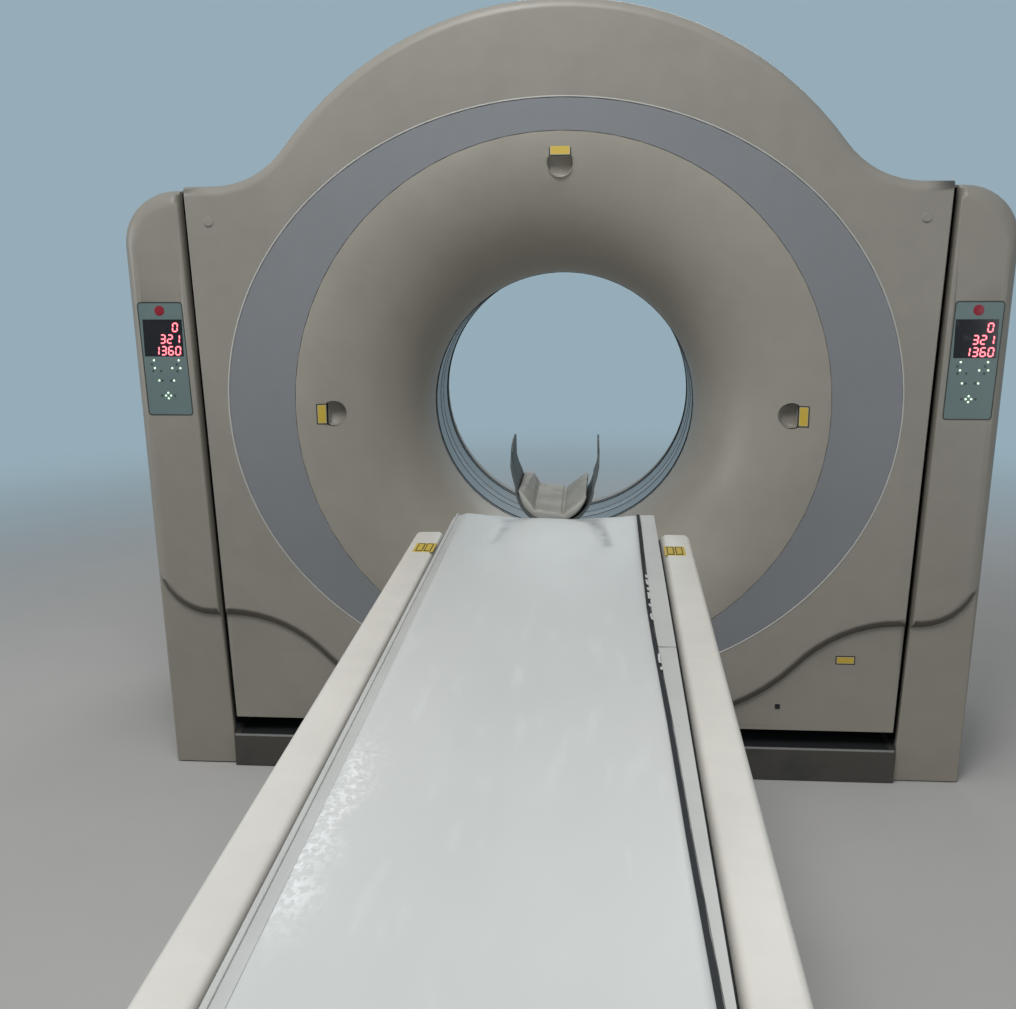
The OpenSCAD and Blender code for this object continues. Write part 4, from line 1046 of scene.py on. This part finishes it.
@dataclass
class Display:
    """One control panel's face: window, digits, lamp and lit keys."""

    side: Side
    front: float = -0.459
    width: float = 0.116
    height: float = 0.284
    low: float = 0.949
    inner: float = 0.9231
    lean: float = 0.0117
    window: float = 0.0994
    digit_height: float = 0.0200
    digit_width: float = 0.0115
    digit_gap: float = 0.0068
    italic: float = 0.10
    bar: float = 0.0040
    bar_thick: float = 0.0004
    bar_corner: float = 0.45
    bar_gaps: Tuple[float, float] = (0.0010, 0.0018)
    layers: Tuple[Tuple[str, float, float], ...] = (
        ("digit_red", 1.0, 0.0), ("digit_core", 0.34, 0.0003),
    )
    rim_thick: float = 0.0006
    rim_width: float = 0.0026
    rim_corner: float = 0.009
    lamp_size: Tuple[float, float] = (0.0125, 0.0008)
    lamp_step: Tuple[float, float] = (0.002, 0.0005)
    key_thick: float = 0.0005
    key_step: Tuple[float, float] = (0.0007, 0.0002)
    rows: Tuple[Tuple[str, float, float], ...] = (
        ("0", 1.1705, 0.012), ("321", 1.1415, 0.0085), ("1360", 1.1125, 0.0075),
    )
    lamp_at: Tuple[float, float] = (0.056, 1.2115)
    keys: Tuple[Tuple[str, str, float, Rows], ...] = (
        ("marks", "lamp_green", 0.0026, (
            (1.0885, (0.0285, 0.092)), (1.0690, (0.029, 0.0735, 0.0945)),
            (1.0378, (0.037, 0.075)), (1.0068, (0.0565,)), (0.9998, (0.0500, 0.0630)),
            (0.9928, (0.0565,)),
        )),
        ("keys", "key_dark", 0.0030, (
            (1.0785, (0.022, 0.086)), (1.0615, (0.024, 0.044, 0.086)),
            (1.0378, (0.045, 0.067)), (0.9998, (0.040, 0.073)),
        )),
    )

    SEGMENTS = {"0": "abcdef", "1": "bc", "2": "abged", "3": "abgcd", "6": "afgedc"}
    SPOTS = {"a": (0, 1), "g": (0, 0), "d": (0, -1), "b": (1, 0.5), "c": (1, -0.5),
             "f": (-1, 0.5), "e": (-1, -0.5)}

    def x(self, along: float, z: float) -> float:
        """Place across the panel.

        Args:
            along: Distance from the panel's left edge as seen, at the lower edge.
            z: Height above the floor.

        Returns:
            The X coordinate.
        """
        tilt = self.lean * (z - self.low) / self.height
        if self.side is Side.RIGHT:
            return self.inner + along + tilt
        return -(self.inner + self.width - along + tilt)

    def build(self) -> None:
        """Builds the face and everything on it."""
        name = self.side.name.lower()
        self.border(name)
        self.digits(name)
        self.lamps(name)

    def border(self, name: str) -> None:
        """A thin dark frame round the panel.

        Args:
            name: Name of the side.
        """
        sign = self.side.value
        centre = (sign * (self.inner + self.width / 2), self.front + 0.0001,
                  self.low + self.height / 2)
        size = (self.width - 0.001, self.rim_thick, self.height - 0.001)
        rim = plate(name + "_panel_border", size, centre, self.rim_corner,
                    lean=sign * self.lean)
        edit(rim, "faces", lambda f: abs(f.normal.y) > 0.9,
             lambda: bpy.ops.mesh.inset(thickness=self.rim_width, depth=0.0),
             lambda: bpy.ops.mesh.delete(type="FACE"))
        edit(rim, "edges", lambda e: e.is_boundary,
             lambda: bpy.ops.mesh.bridge_edge_loops(),
             lambda: bpy.ops.mesh.select_all(action="SELECT"),
             lambda: bpy.ops.mesh.normals_make_consistent(inside=False))
        dress(rim, "dark_plastic", Body.BASE)

    def digits(self, name: str) -> None:
        """Seven-segment numbers in three rows, set to the right.

        Args:
            name: Name of the side.
        """
        low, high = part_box("display_windows")
        right = high.x if self.side is Side.RIGHT else low.x + self.window
        tall = self.digit_height / 2 - self.bar_gaps[0]
        broad = self.digit_width - self.bar_gaps[1]
        for finish, share, lift in self.layers:
            at, wide = (0, low.y - 0.0002 - lift, 0), self.bar * share
            thick, corner = self.bar_thick, wide * self.bar_corner
            upright = plate("upright", (wide, thick, tall - lift * 4), at, corner)
            flat = plate("flat", (broad - lift * 4, thick, wide), at, corner)
            bars = [
                copy(flat if key in "agd" else upright, "bar", self.spot(key, x, z))
                for text, z, edge in self.rows
                for x, sign in self.set_out(text, right - edge)
                for key in self.SEGMENTS[sign]
            ]
            for seed in (upright, flat):
                bpy.data.objects.remove(seed)
            dress(join(f"{name}_{finish}", bars), finish, Body.BASE)

    def set_out(self, text: str, right: float) -> List[Tuple[float, str]]:
        """Centre and sign of each of a row's digits, from the row's right end."""
        step = self.digit_width + self.digit_gap
        return [(right - self.digit_width / 2 - i * step, sign)
                for i, sign in enumerate(reversed(text))]

    def spot(self, key: str, x: float, z: float) -> Point:
        """Place of one bar of a digit.

        Args:
            key: Letter of the bar.
            x: Centre of the digit.
            z: Centre of the digit.

        Returns:
            The bar's offset.
        """
        across, up = self.SPOTS[key]
        dx, dz = across * self.digit_width / 2, up * self.digit_height / 2
        return (x + dx + self.italic * dz, 0, z + dz)

    def lamps(self, name: str) -> None:
        """Red lamp above the window, and lit marks and dark keys below it.

        Args:
            name: Name of the side.
        """
        y, z = self.front - 0.0001, self.lamp_at[1]
        lamp = disc(name + "_status_lamp", (self.x(self.lamp_at[0], z), y, z),
                    *self.lamp_size, 40, self.lamp_step)
        dress(lamp, "lamp_red", Body.BASE, angle=50)
        for label, finish, radius, layout in self.keys:
            seed = disc("seed", (0, y, 0), radius, self.key_thick, 16, self.key_step)
            spots = [copy(seed, "spot", (self.x(along, z), 0, z))
                     for z, row in layout for along in row]
            bpy.data.objects.remove(seed)
            dress(join(f"{name}_key_{label}", spots), finish, Body.BASE)


@dataclass
class Gantry:
    """Small pieces on the tilting section: labels, caps, window bars and joint lines."""

    front: float = -0.460
    iso: float = 0.942
    mouth_r: float = 0.660
    mouth_z: float = 0.970
    bore_r: float = 0.350
    funnel: float = 0.320
    ring_x: float = 0.8300
    ring_h: float = 0.7280
    ring_z: float = 0.979
    cover_step: float = 0.016
    top_window_z: float = 1.588
    side_window: Tuple[float, float] = (0.5955, 0.954)
    slit: Point = (0.044, 0.0014, 0.0042)
    slit_x: float = 0.578
    slit_z: float = 1.5660
    slit_y: Tuple[float, float] = (0.0332, 0.017)
    layers: Tuple[Tuple[str, str, float, float], ...] = (
        ("border", "label_border", 0.0, 0.0003), ("line", "label_pale", 0.0052, 0.0006),
        ("field", "label_yellow", 0.0082, 0.0008),
    )
    label_thick: float = 0.0005
    label_corner: float = 0.0012
    top_label: Tuple[float, float] = (0.052, 0.031)
    side_label: Tuple[float, float] = (0.027, 0.052)
    plain_label: Tuple[float, float] = (0.049, 0.023)
    plain_at: Tuple[float, float] = (0.7305, 0.3275)
    eye: Point = (0.013, 0.0016, 0.013)
    eye_at: Tuple[float, float] = (0.565, 0.198)
    cap_at: Tuple[float, float] = (0.856, 1.425)
    cap_size: Tuple[float, float] = (0.012, 0.0016)
    cap_steps: Tuple[Tuple[float, float], ...] = ((0.0012, 0.0005), (0.006, -0.0004))
    bead: float = 0.0021
    bead_sunk: float = 0.0008
    sleeve: Tuple[Tuple[float, float], ...] = (
        (-0.1399, 0.0065), (-0.1399, 0.0003), (-0.1225, 0.0003), (-0.1205, 0.0020),
        (-0.1155, 0.0020), (-0.1135, 0.0003), (-0.0302, 0.0003), (-0.0302, 0.0065),
        (-0.1399, 0.0065),
    )
    seals: Tuple[Tuple[float, float], ...] = (
        (-0.1375, 0.0018), (-0.118, 0.0018), (-0.0283, 0.0011),
        (0.0283, 0.0011), (0.118, 0.0018), (0.1375, 0.0018),
    )

    def depth_at(self, radius: float) -> Tuple[float, float]:
        """Depth of the funnel's surface behind the front face.

        Args:
            radius: Distance from the mouth's centre.

        Returns:
            The Y coordinate of the surface, and its slope in degrees.
        """
        narrowing = self.mouth_r - self.bore_r
        sine = (self.mouth_r - radius) / narrowing
        cosine = math.sqrt(1 - sine * sine)
        slope = math.degrees(math.atan2(self.funnel * sine, narrowing * cosine))
        return self.front + self.funnel * (1 - cosine), slope

    def build(self) -> None:
        """Builds the pieces on the tilting section."""
        self.laser_labels()
        self.low_label()
        self.caps()
        self.cup_slits()
        self.liners()
        self.joint_lines()
        self.ring_bead()

    def liners(self) -> None:
        """Two smooth sleeves in the bore, each with a shallow groove near its outer end."""
        path = [(y, self.bore_r + out) for y, out in self.sleeve]
        steps: List[Step] = []
        for (y0, r0), (y1, r1) in zip(path, path[1:]):
            steps.append(lambda y0=y0, y1=y1: bpy.ops.mesh.extrude_region_move(
                TRANSFORM_OT_translate={"value": (0, y1 - y0, 0)}))
            steps.append(lambda r0=r0, r1=r1, y1=y1: bpy.ops.transform.resize(
                value=(r1 / r0, 1, r1 / r0), center_override=(0, y1, self.iso)))
        sleeves = []
        for face in (-1, 1):
            sleeve = start("sleeve", bpy.ops.mesh.primitive_circle_add, vertices=192,
                           radius=path[0][1], location=(0, path[0][0], self.iso),
                           rotation=FACE_FRONT)
            edit(sleeve, "verts", lambda v: True, *steps,
                 lambda: bpy.ops.mesh.select_all(action="SELECT"),
                 lambda: bpy.ops.mesh.remove_doubles(threshold=0.00005))
            if face > 0:
                sleeve.data.transform(Matrix.Diagonal((1, -1, 1, 1)))
            edit(sleeve, "faces", lambda f: True,
                 lambda: bpy.ops.mesh.normals_make_consistent(inside=False))
            sleeves.append(sleeve)
        piece = join("bore_sleeves", sleeves)
        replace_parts(dress(piece, "liner_blue", Body.TILT, 40), "bore_liners")

    def label(
        self, name: str, width: float, height: float, at: Point, angle: float = 0.0,
        axis: str = "X",
    ) -> None:
        """A yellow field with a pale line and a dark border, facing the front.

        Args:
            name: Name of the label.
            width: Size along X.
            height: Size along Z.
            at: Centre of its back.
            angle: Turn in degrees about that centre.
            axis: Axis of the turn.
        """
        for layer, finish, inset, lift in self.layers:
            size = (width - inset, self.label_thick, height - inset)
            part = plate(f"{name}_{layer}", size, (at[0], at[1] - lift, at[2]),
                         self.label_corner)
            if angle:
                turn(part, angle, axis, at)
            dress(part, finish, Body.TILT)

    def laser_labels(self) -> None:
        """Fields beside the three laser windows."""
        z = self.top_window_z
        y, slope = self.depth_at(z - self.mouth_z)
        self.label("top_laser", *self.top_label, (0, y, z), -slope)
        for side in Side:
            x, z = side.value * self.side_window[0], self.side_window[1]
            y, slope = self.depth_at(math.hypot(x, z - self.mouth_z))
            self.label(side.name.lower() + "_laser", *self.side_label, (x, y, z),
                       side.value * -slope, "Z")

    def low_label(self) -> None:
        """Field and dark sensor eye low on the right of the front cover."""
        back = self.front + self.cover_step
        self.label("low_label", *self.plain_label, (self.plain_at[0], back, self.plain_at[1]))
        at = (self.eye_at[0], back - self.eye[1] / 2, self.eye_at[1])
        eye = plate("sensor_eye", self.eye, at, 0.002, 0.0004)
        dress(eye, "seam_black", Body.TILT)

    def caps(self) -> None:
        """Round screw caps in the shoulders, front and rear."""
        seed = disc("cap_seed", (0, self.front, 0), *self.cap_size, 40, *self.cap_steps)
        caps = [copy(seed, "cap", (side * self.cap_at[0], 0, self.cap_at[1]))
                for side in (-1, 1, -1, 1)]
        for rear in caps[2:]:
            rear.data.transform(Matrix.Diagonal((1, -1, 1, 1)))
            rear.data.flip_normals()
        bpy.data.objects.remove(seed)
        piece = join("shoulder_caps", caps)
        dress(piece, "cover_cream", Body.TILT, 50)

    def cup_slits(self) -> None:
        """A slim dark slit at the flat side of each laser window."""
        parts = []
        for side in (0, 1, -1):
            at = (0, self.front + self.slit_y[0], self.slit_z)
            slit = plate("slit", self.slit, at, 0.0016, 0.0004)
            if side:
                turn(slit, side * 90, "Y", (0, 0, self.iso + 0.6))
                points = slit.data.vertices
                middle = sum((v.co for v in points), Vector()) / len(points)
                slit.data.transform(Matrix.Translation((
                    side * self.slit_x - middle.x, self.slit_y[1],
                    self.side_window[1] - middle.z)))
            parts.append(slit)
        dress(join("laser_slits", parts), "seam_black", Body.TILT)

    def joint_lines(self) -> None:
        """Dark sealing rings between the bore's liners."""
        rings = [ring("ring", (0, y, self.iso), self.bore_r + 0.0004, minor, (128, 8))
                 for y, minor in self.seals]
        dress(join("bore_seals", rings), "seam_black", Body.TILT, 80)

    def ring_bead(self) -> None:
        """A slim bead round the coloured ring, on the front and on the rear."""
        beads = []
        for face in (-1, 1):
            bead = ring("bead", (0, face * (-self.front - self.bead_sunk), self.ring_z),
                        self.ring_x, self.bead, (192, 10))
            edit(bead, "verts", lambda v: True, lambda: bpy.ops.transform.resize(
                value=(1, 1, self.ring_h / self.ring_x), center_override=(0, 0, self.ring_z)))
            beads.append(bead)
        dress(join("ring_bead", beads), "strip_grey", Body.TILT, 80)


@dataclass
class PlinthTrim:
    """Paler top edges on the plinths, partly a painted highlight, dark sheets that paint the shade
    in the gap beneath the skirt, and screws at the rear.
    """

    rear: float = 0.460
    half: float = 0.866
    height: float = 0.090
    strips: Tuple[Tuple[str, str, str, Point, float, float, float], ...] = (
        # Partly painted highlight: a paler strip along each plinth's top front edge stands for the
        # light that the edge catches.
        ("plinth_edges", "edge_grey", "plinth_grey", (0.004, 0.0034, 0.0055),
         0.0014, -0.0022, 0.0012),
        # Painted shade: dark sheets on the plinths' tops, seen through the gap beneath the skirt.
        ("plinth_felts", "seam_black", "dark_plastic", (0.030, 0.150, 0.0016),
         0.081, 0.0006, 0.0004),
    )
    screw_inset: float = 0.009
    screw_heights: Tuple[float, float] = (0.030, 0.066)
    screw: Tuple[float, float] = (0.0032, 0.0012)
    socket: Tuple[float, float] = (0.001, -0.0006)

    def build(self) -> None:
        """Builds the edges and the dark sheets, front and rear, and the screws."""
        for name, finish, slot, (less, deep, tall), back, up, edge in self.strips:
            parts = [
                plate("strip", (2 * self.half - less, deep, tall),
                      (0, face * (self.rear - back), self.height + up), 0.0, edge)
                for face in (-1, 1)
            ]
            dress(join(name, parts), finish, Body.BASE)
        screws = [
            disc("screw", (sign * (self.half - self.screw_inset), self.rear + 0.0004, z),
                 *self.screw, 20, self.socket, rear=True)
            for sign in (-1, 1) for z in self.screw_heights
        ]
        piece = join("plinth_screws", screws)
        dress(piece, "bright_steel", Body.BASE, 40)


# Table details


@dataclass
class TableTrim:
    """Labels on the rails, strips beside the mat and the tape at its edge."""

    mat: Mattress
    rail_z: float = 0.763
    cradle_z: float = 0.770
    lip: Tuple[float, float] = (0.2276, 0.2317)
    lip_z: Tuple[float, float] = (0.7440, 0.7525)
    lip_y: Tuple[float, float] = (-0.893, -3.080)
    bead: Tuple[float, float] = (-0.2215, -0.2180)
    bead_y: Tuple[float, float] = (-0.752, -2.890)
    strip_gap: float = 0.004
    strip_right: Tuple[float, float] = (0.2253, 0.2255)
    labels: Tuple[Tuple[str, float, float, Tuple[Tuple[float, float], ...]], ...] = (
        ("label_yellow", 0.0, 0.0006, ((0.236, 0.278),)),
        ("label_border", 0.004, 0.0009, ((0.241, 0.2555), (0.2585, 0.273))),
        ("label_yellow", 0.010, 0.0012, ((0.243, 0.2535), (0.2605, 0.271))),
    )
    strips: Tuple[Tuple[float, float], ...] = (
        (-0.752, -1.100), (-1.100, -1.450), (-1.450, -1.640), (-1.647, -1.960),
        (-1.960, -2.260), (-2.260, -2.600),
    )
    bits: Tuple[Point, ...] = (
        (-1.262, 0.020, 0.5), (-1.300, 0.030, 1.0), (-1.342, 0.014, 0.7),
        (-1.384, 0.036, 1.3), (-1.440, 0.012, 0.6), (-1.502, 0.034, 0.8),
        (-1.705, 0.040, 1.0), (-1.748, 0.012, 0.5),
    )

    def build(self) -> None:
        """Builds the pieces on the table and the cradle."""
        self.rail_labels()
        self.edge_strip()
        self.seals()
        self.seam()
        self.tape()

    def slab(self, name: str, ends: Sequence[Point], low: float, high: float,
             edge: float = 0.0006) -> Piece:
        """A flat strip along the table that may widen from one end to the other.

        Args:
            name: Name of the piece.
            ends: Y, left X and right X of the two ends, far end first.
            low: Height of the underside.
            high: Height of the upper side.
            edge: Radius of the upper edges.

        Returns:
            The strip.
        """
        (y1, a1, b1), (y0, a0, b0) = ends
        at = ((a1 + b1) / 2, (y0 + y1) / 2, (low + high) / 2)
        piece = cube(name, at, (b1 - a1, y1 - y0, high - low))
        for left, move in ((True, a0 - a1), (False, b0 - b1)):
            shift(piece, lambda v: v.co.y < at[1] and (v.co.x < at[0]) == left, move)
        bevel(piece, lambda e: all(v.co.z > at[2] for v in e.verts), edge, 3)
        return piece

    def rail_labels(self) -> None:
        """Two small fields side by side on each rail's end."""
        for side in Side:
            pieces: Dict[str, List[Piece]] = {}
            for finish, inset, lift, spans in self.labels:
                for span in spans:
                    x0, x1 = sorted(side.value * x for x in span)
                    pieces.setdefault(finish, []).append(self.slab(
                        "field", ((-0.990 - inset, x0, x1), (-1.060 + inset, x0, x1)),
                        self.rail_z - 0.0004, self.rail_z + lift, 0.0003))
            for finish, parts in pieces.items():
                name = f"{side.name.lower()}_rail_{finish}"
                dress(join(name, parts), finish, Body.TOP)

    def edge_strip(self) -> None:
        """Light strip between the mat and the right rail, and a bead at the mat's left."""
        z, parts = self.cradle_z, []
        for span in self.strips:
            ends = [(y, self.mat.edge_at(y) + self.strip_gap, right)
                    for y, right in zip(span, self.strip_right)]
            parts.append(self.slab("strip", ends, z - 0.0005, z + 0.0035))
        dress(join("cradle_strip", parts), "strip_grey", Body.CRADLE)
        left = self.slab("left_bead", [(y, *self.bead) for y in self.bead_y],
                         z - 0.0005, z + 0.0030, 0.0010)
        dress(left, "strip_grey", Body.CRADLE)

    def seals(self) -> None:
        """Dark sealing lips in the gaps beside the rails."""
        lips = []
        for side in Side:
            xs = sorted(side.value * x for x in self.lip)
            lips.append(self.slab("lip", [(y, *xs) for y in self.lip_y], *self.lip_z, 0.0012))
        dress(join("rail_lips", lips), "seam_black", Body.TOP)

    def seam(self) -> None:
        """Worn dark seam along the mat's right edge."""
        seam = cube("mat_edge_seam", (0, -1.70, 0.7722), (0.004, 1.89, 0.0066))
        edit(seam, "edges", lambda e: abs((e.verts[0].co - e.verts[1].co).y) > 1.0,
             lambda: bpy.ops.mesh.subdivide(number_cuts=150))
        for vertex in seam.data.vertices:
            co = vertex.co
            edge = self.mat.edge_at(co.y)
            worn = 1.0 if -1.80 < co.y < -1.15 else 0.25
            wave = (noise.noise(Vector((3.0, co.y * 17.0, 0.0)))
                    + 0.6 * noise.noise(Vector((8.0, co.y * 45.0, 0.0))))
            co.x = edge + 0.0024 + 0.0024 * worn * wave if co.x > 0 else edge - 0.004
        dress(seam, "seam_black", Body.CRADLE)

    def tape(self) -> None:
        """Torn bits of tape on the seam."""
        parts = []
        for i, (y, length, lift) in enumerate(self.bits):
            x = self.mat.edge_at(y) + 0.0020
            bit = cube("bit", (x, y, 0.7768), (0.0036, length, 0.0005))
            edit(bit, "edges", lambda e: True,
                 lambda: bpy.ops.mesh.subdivide(number_cuts=7))
            for vertex in bit.data.vertices:
                co = vertex.co
                at = Vector((x * 75.0, co.y * 75.0, i))
                co.x += 0.0012 * noise.noise(at) + 0.0006 * noise.noise(at * 4.0)
                co.z += 0.0012 * lift * noise.noise(at * 1.5) - 0.25 * (co.x - x)
            parts.append(bit)
        dress(join("mat_edge_tape", parts), "tape_white", Body.CRADLE)


# Stage


@dataclass
class Stage:
    """Floor, backdrop, lights and the camera."""

    place: Point = (0.1085, -3.4698, 1.4119)
    pitch: float = 12.76
    yaw: float = 4.49
    roll: float = -0.35
    lens: float = 43.588
    sky: Colour = (0.305, 0.418, 0.485)
    daylight: Colour = (0.93, 0.96, 1.0)
    daylight_strength: float = 0.21
    bounce: Colour = (0.33, 0.31, 0.285)
    fade: Tuple[float, float] = (1.6, 5.5)
    lamps: Tuple[Tuple[str, Point, Point, float, float], ...] = (
        ("near_panel", (-0.45, -2.75, 3.75), (-0.05, -1.7, 0.8), 1.3, 60),
        ("far_panel", (-0.40, -1.25, 3.3), (-0.1, -1.4, 0.8), 0.7, 7),
        ("left_lamp", (-4.0, -1.2, 1.5), (0.6, -0.25, 0.9), 1.2, 26),
        ("low_right", (1.9, -2.0, 0.95), (0.85, -0.45, 0.35), 0.8, 3.5),
        ("rear_lamp", (0.5, 2.8, 3.0), (0.0, 0.3, 1.0), 1.8, 34),
    )

    def build(self) -> None:
        """Builds the stage."""
        self.floor()
        self.world()
        for lamp in self.lamps:
            self.lamp(*lamp)
        self.camera()

    def seen(self, tree: Tree) -> Wire:
        """1 for rays that show the stage in the picture, 0 for those that light the object.

        Args:
            tree: Node tree that gets the nodes.

        Returns:
            The wire of the share.
        """
        path = tree.nodes.new("ShaderNodeLightPath")
        camera, glossy, through = (
            Wire(tree, path.outputs[f"Is {ray} Ray"])
            for ray in ("Camera", "Glossy", "Transmission"))
        return camera + glossy + through

    def mix(self, tree: Tree, share: Wire, one: Node, two: Node, output: str) -> None:
        """Mixes the shaders of two nodes and links the mixture to the output node.

        Args:
            tree: Node tree of the nodes.
            share: Share of the second shader.
            one: Node of the first shader.
            two: Node of the second shader.
            output: Name of the output node.
        """
        mix = tree.nodes.new("ShaderNodeMixShader")
        for index, socket in enumerate((share.socket, one.outputs[0], two.outputs[0])):
            tree.links.new(socket, mix.inputs[index])
        tree.links.new(mix.outputs[0], tree.nodes[output].inputs[0])

    def floor(self) -> None:
        """A pale floor that fades into the backdrop all round."""
        floor = start("floor", bpy.ops.mesh.primitive_plane_add, size=80.0,
                      location=(0, 0, -0.0005))
        paint = Paint("floor_pale")
        away = paint.read("Value", "ShaderNodeVectorMath", {"operation": "LENGTH"},
                          Vector=paint.place())
        seen = self.seen(paint.tree)
        pale = paint.blend(paint.grain(3.0, 3.0), (0.52, 0.51, 0.49), (0.57, 0.56, 0.545))
        paint.set(Base_Color=paint.blend(seen, self.bounce, pale), Roughness=0.75)
        glow = paint.node("ShaderNodeEmission", Color=(*self.sky, 1.0), Strength=1.0)
        self.mix(paint.tree, away.ramp(*self.fade) * seen, paint.shader, glow, "Material Output")
        floor.data.materials.append(paint.material)

    def world(self) -> None:
        """A plain world that lights the object, and shows the backdrop's colour."""
        world = bpy.data.worlds.new("studio")
        bpy.context.scene.world = world
        world.use_nodes = True
        tree = world.node_tree
        light = tree.nodes["Background"]
        light.inputs["Color"].default_value = (*self.daylight, 1.0)
        light.inputs["Strength"].default_value = self.daylight_strength
        back = tree.nodes.new("ShaderNodeBackground")
        back.inputs["Color"].default_value = (*self.sky, 1.0)
        self.mix(tree, self.seen(tree), light, back, "World Output")

    def lamp(self, name: str, at: Point, towards: Point, size: float, power: float) -> None:
        """Adds one square area lamp.

        Args:
            name: Name of the lamp.
            at: Its place.
            towards: Point that it faces.
            size: Edge length in metres.
            power: Power in watts.
        """
        light = bpy.data.lights.new(name, "AREA")
        light.size = size
        light.energy = power
        obj = bpy.data.objects.new(name, light)
        bpy.context.scene.collection.objects.link(obj)
        obj.visible_camera = False
        obj.location = at
        obj.rotation_mode = "QUATERNION"
        obj.rotation_quaternion = (Vector(towards) - Vector(at)).to_track_quat("-Z", "Y")

    def camera(self) -> None:
        """The photograph's view."""
        data = bpy.data.cameras.new("camera")
        data.lens = self.lens
        data.sensor_width = 36.0
        data.sensor_fit = "HORIZONTAL"
        data.clip_start, data.clip_end = 0.05, 200.0
        camera = bpy.data.objects.new("camera", data)
        bpy.context.scene.collection.objects.link(camera)
        matrix = Matrix.Translation(self.place)
        for angle, axis in ((self.yaw, "Z"), (90.0 - self.pitch, "X"), (self.roll, "Z")):
            matrix @= Matrix.Rotation(math.radians(angle), 4, axis)
        camera.matrix_world = matrix
        bpy.context.scene.camera = camera


def main() -> None:
    """Builds the object's pieces, then the stage."""
    logging.basicConfig(level=logging.INFO, format="%(message)s")
    bpy.context.scene.view_settings.view_transform = "Standard"
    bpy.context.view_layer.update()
    Shells().build()
    mat = Mattress("mattress", "mat_skin", "mat_vinyl", 0.0085, 0.002)
    mat.build()
    HeadPad("head_pad", "head_pad_skin", "pad_beige", 0.004, 0.002).build()
    for side in Side:
        Display(side).build()
    Gantry().build()
    PlinthTrim().build()
    TableTrim(mat).build()
    Stage().build()


if __name__ == "__main__":
    main()
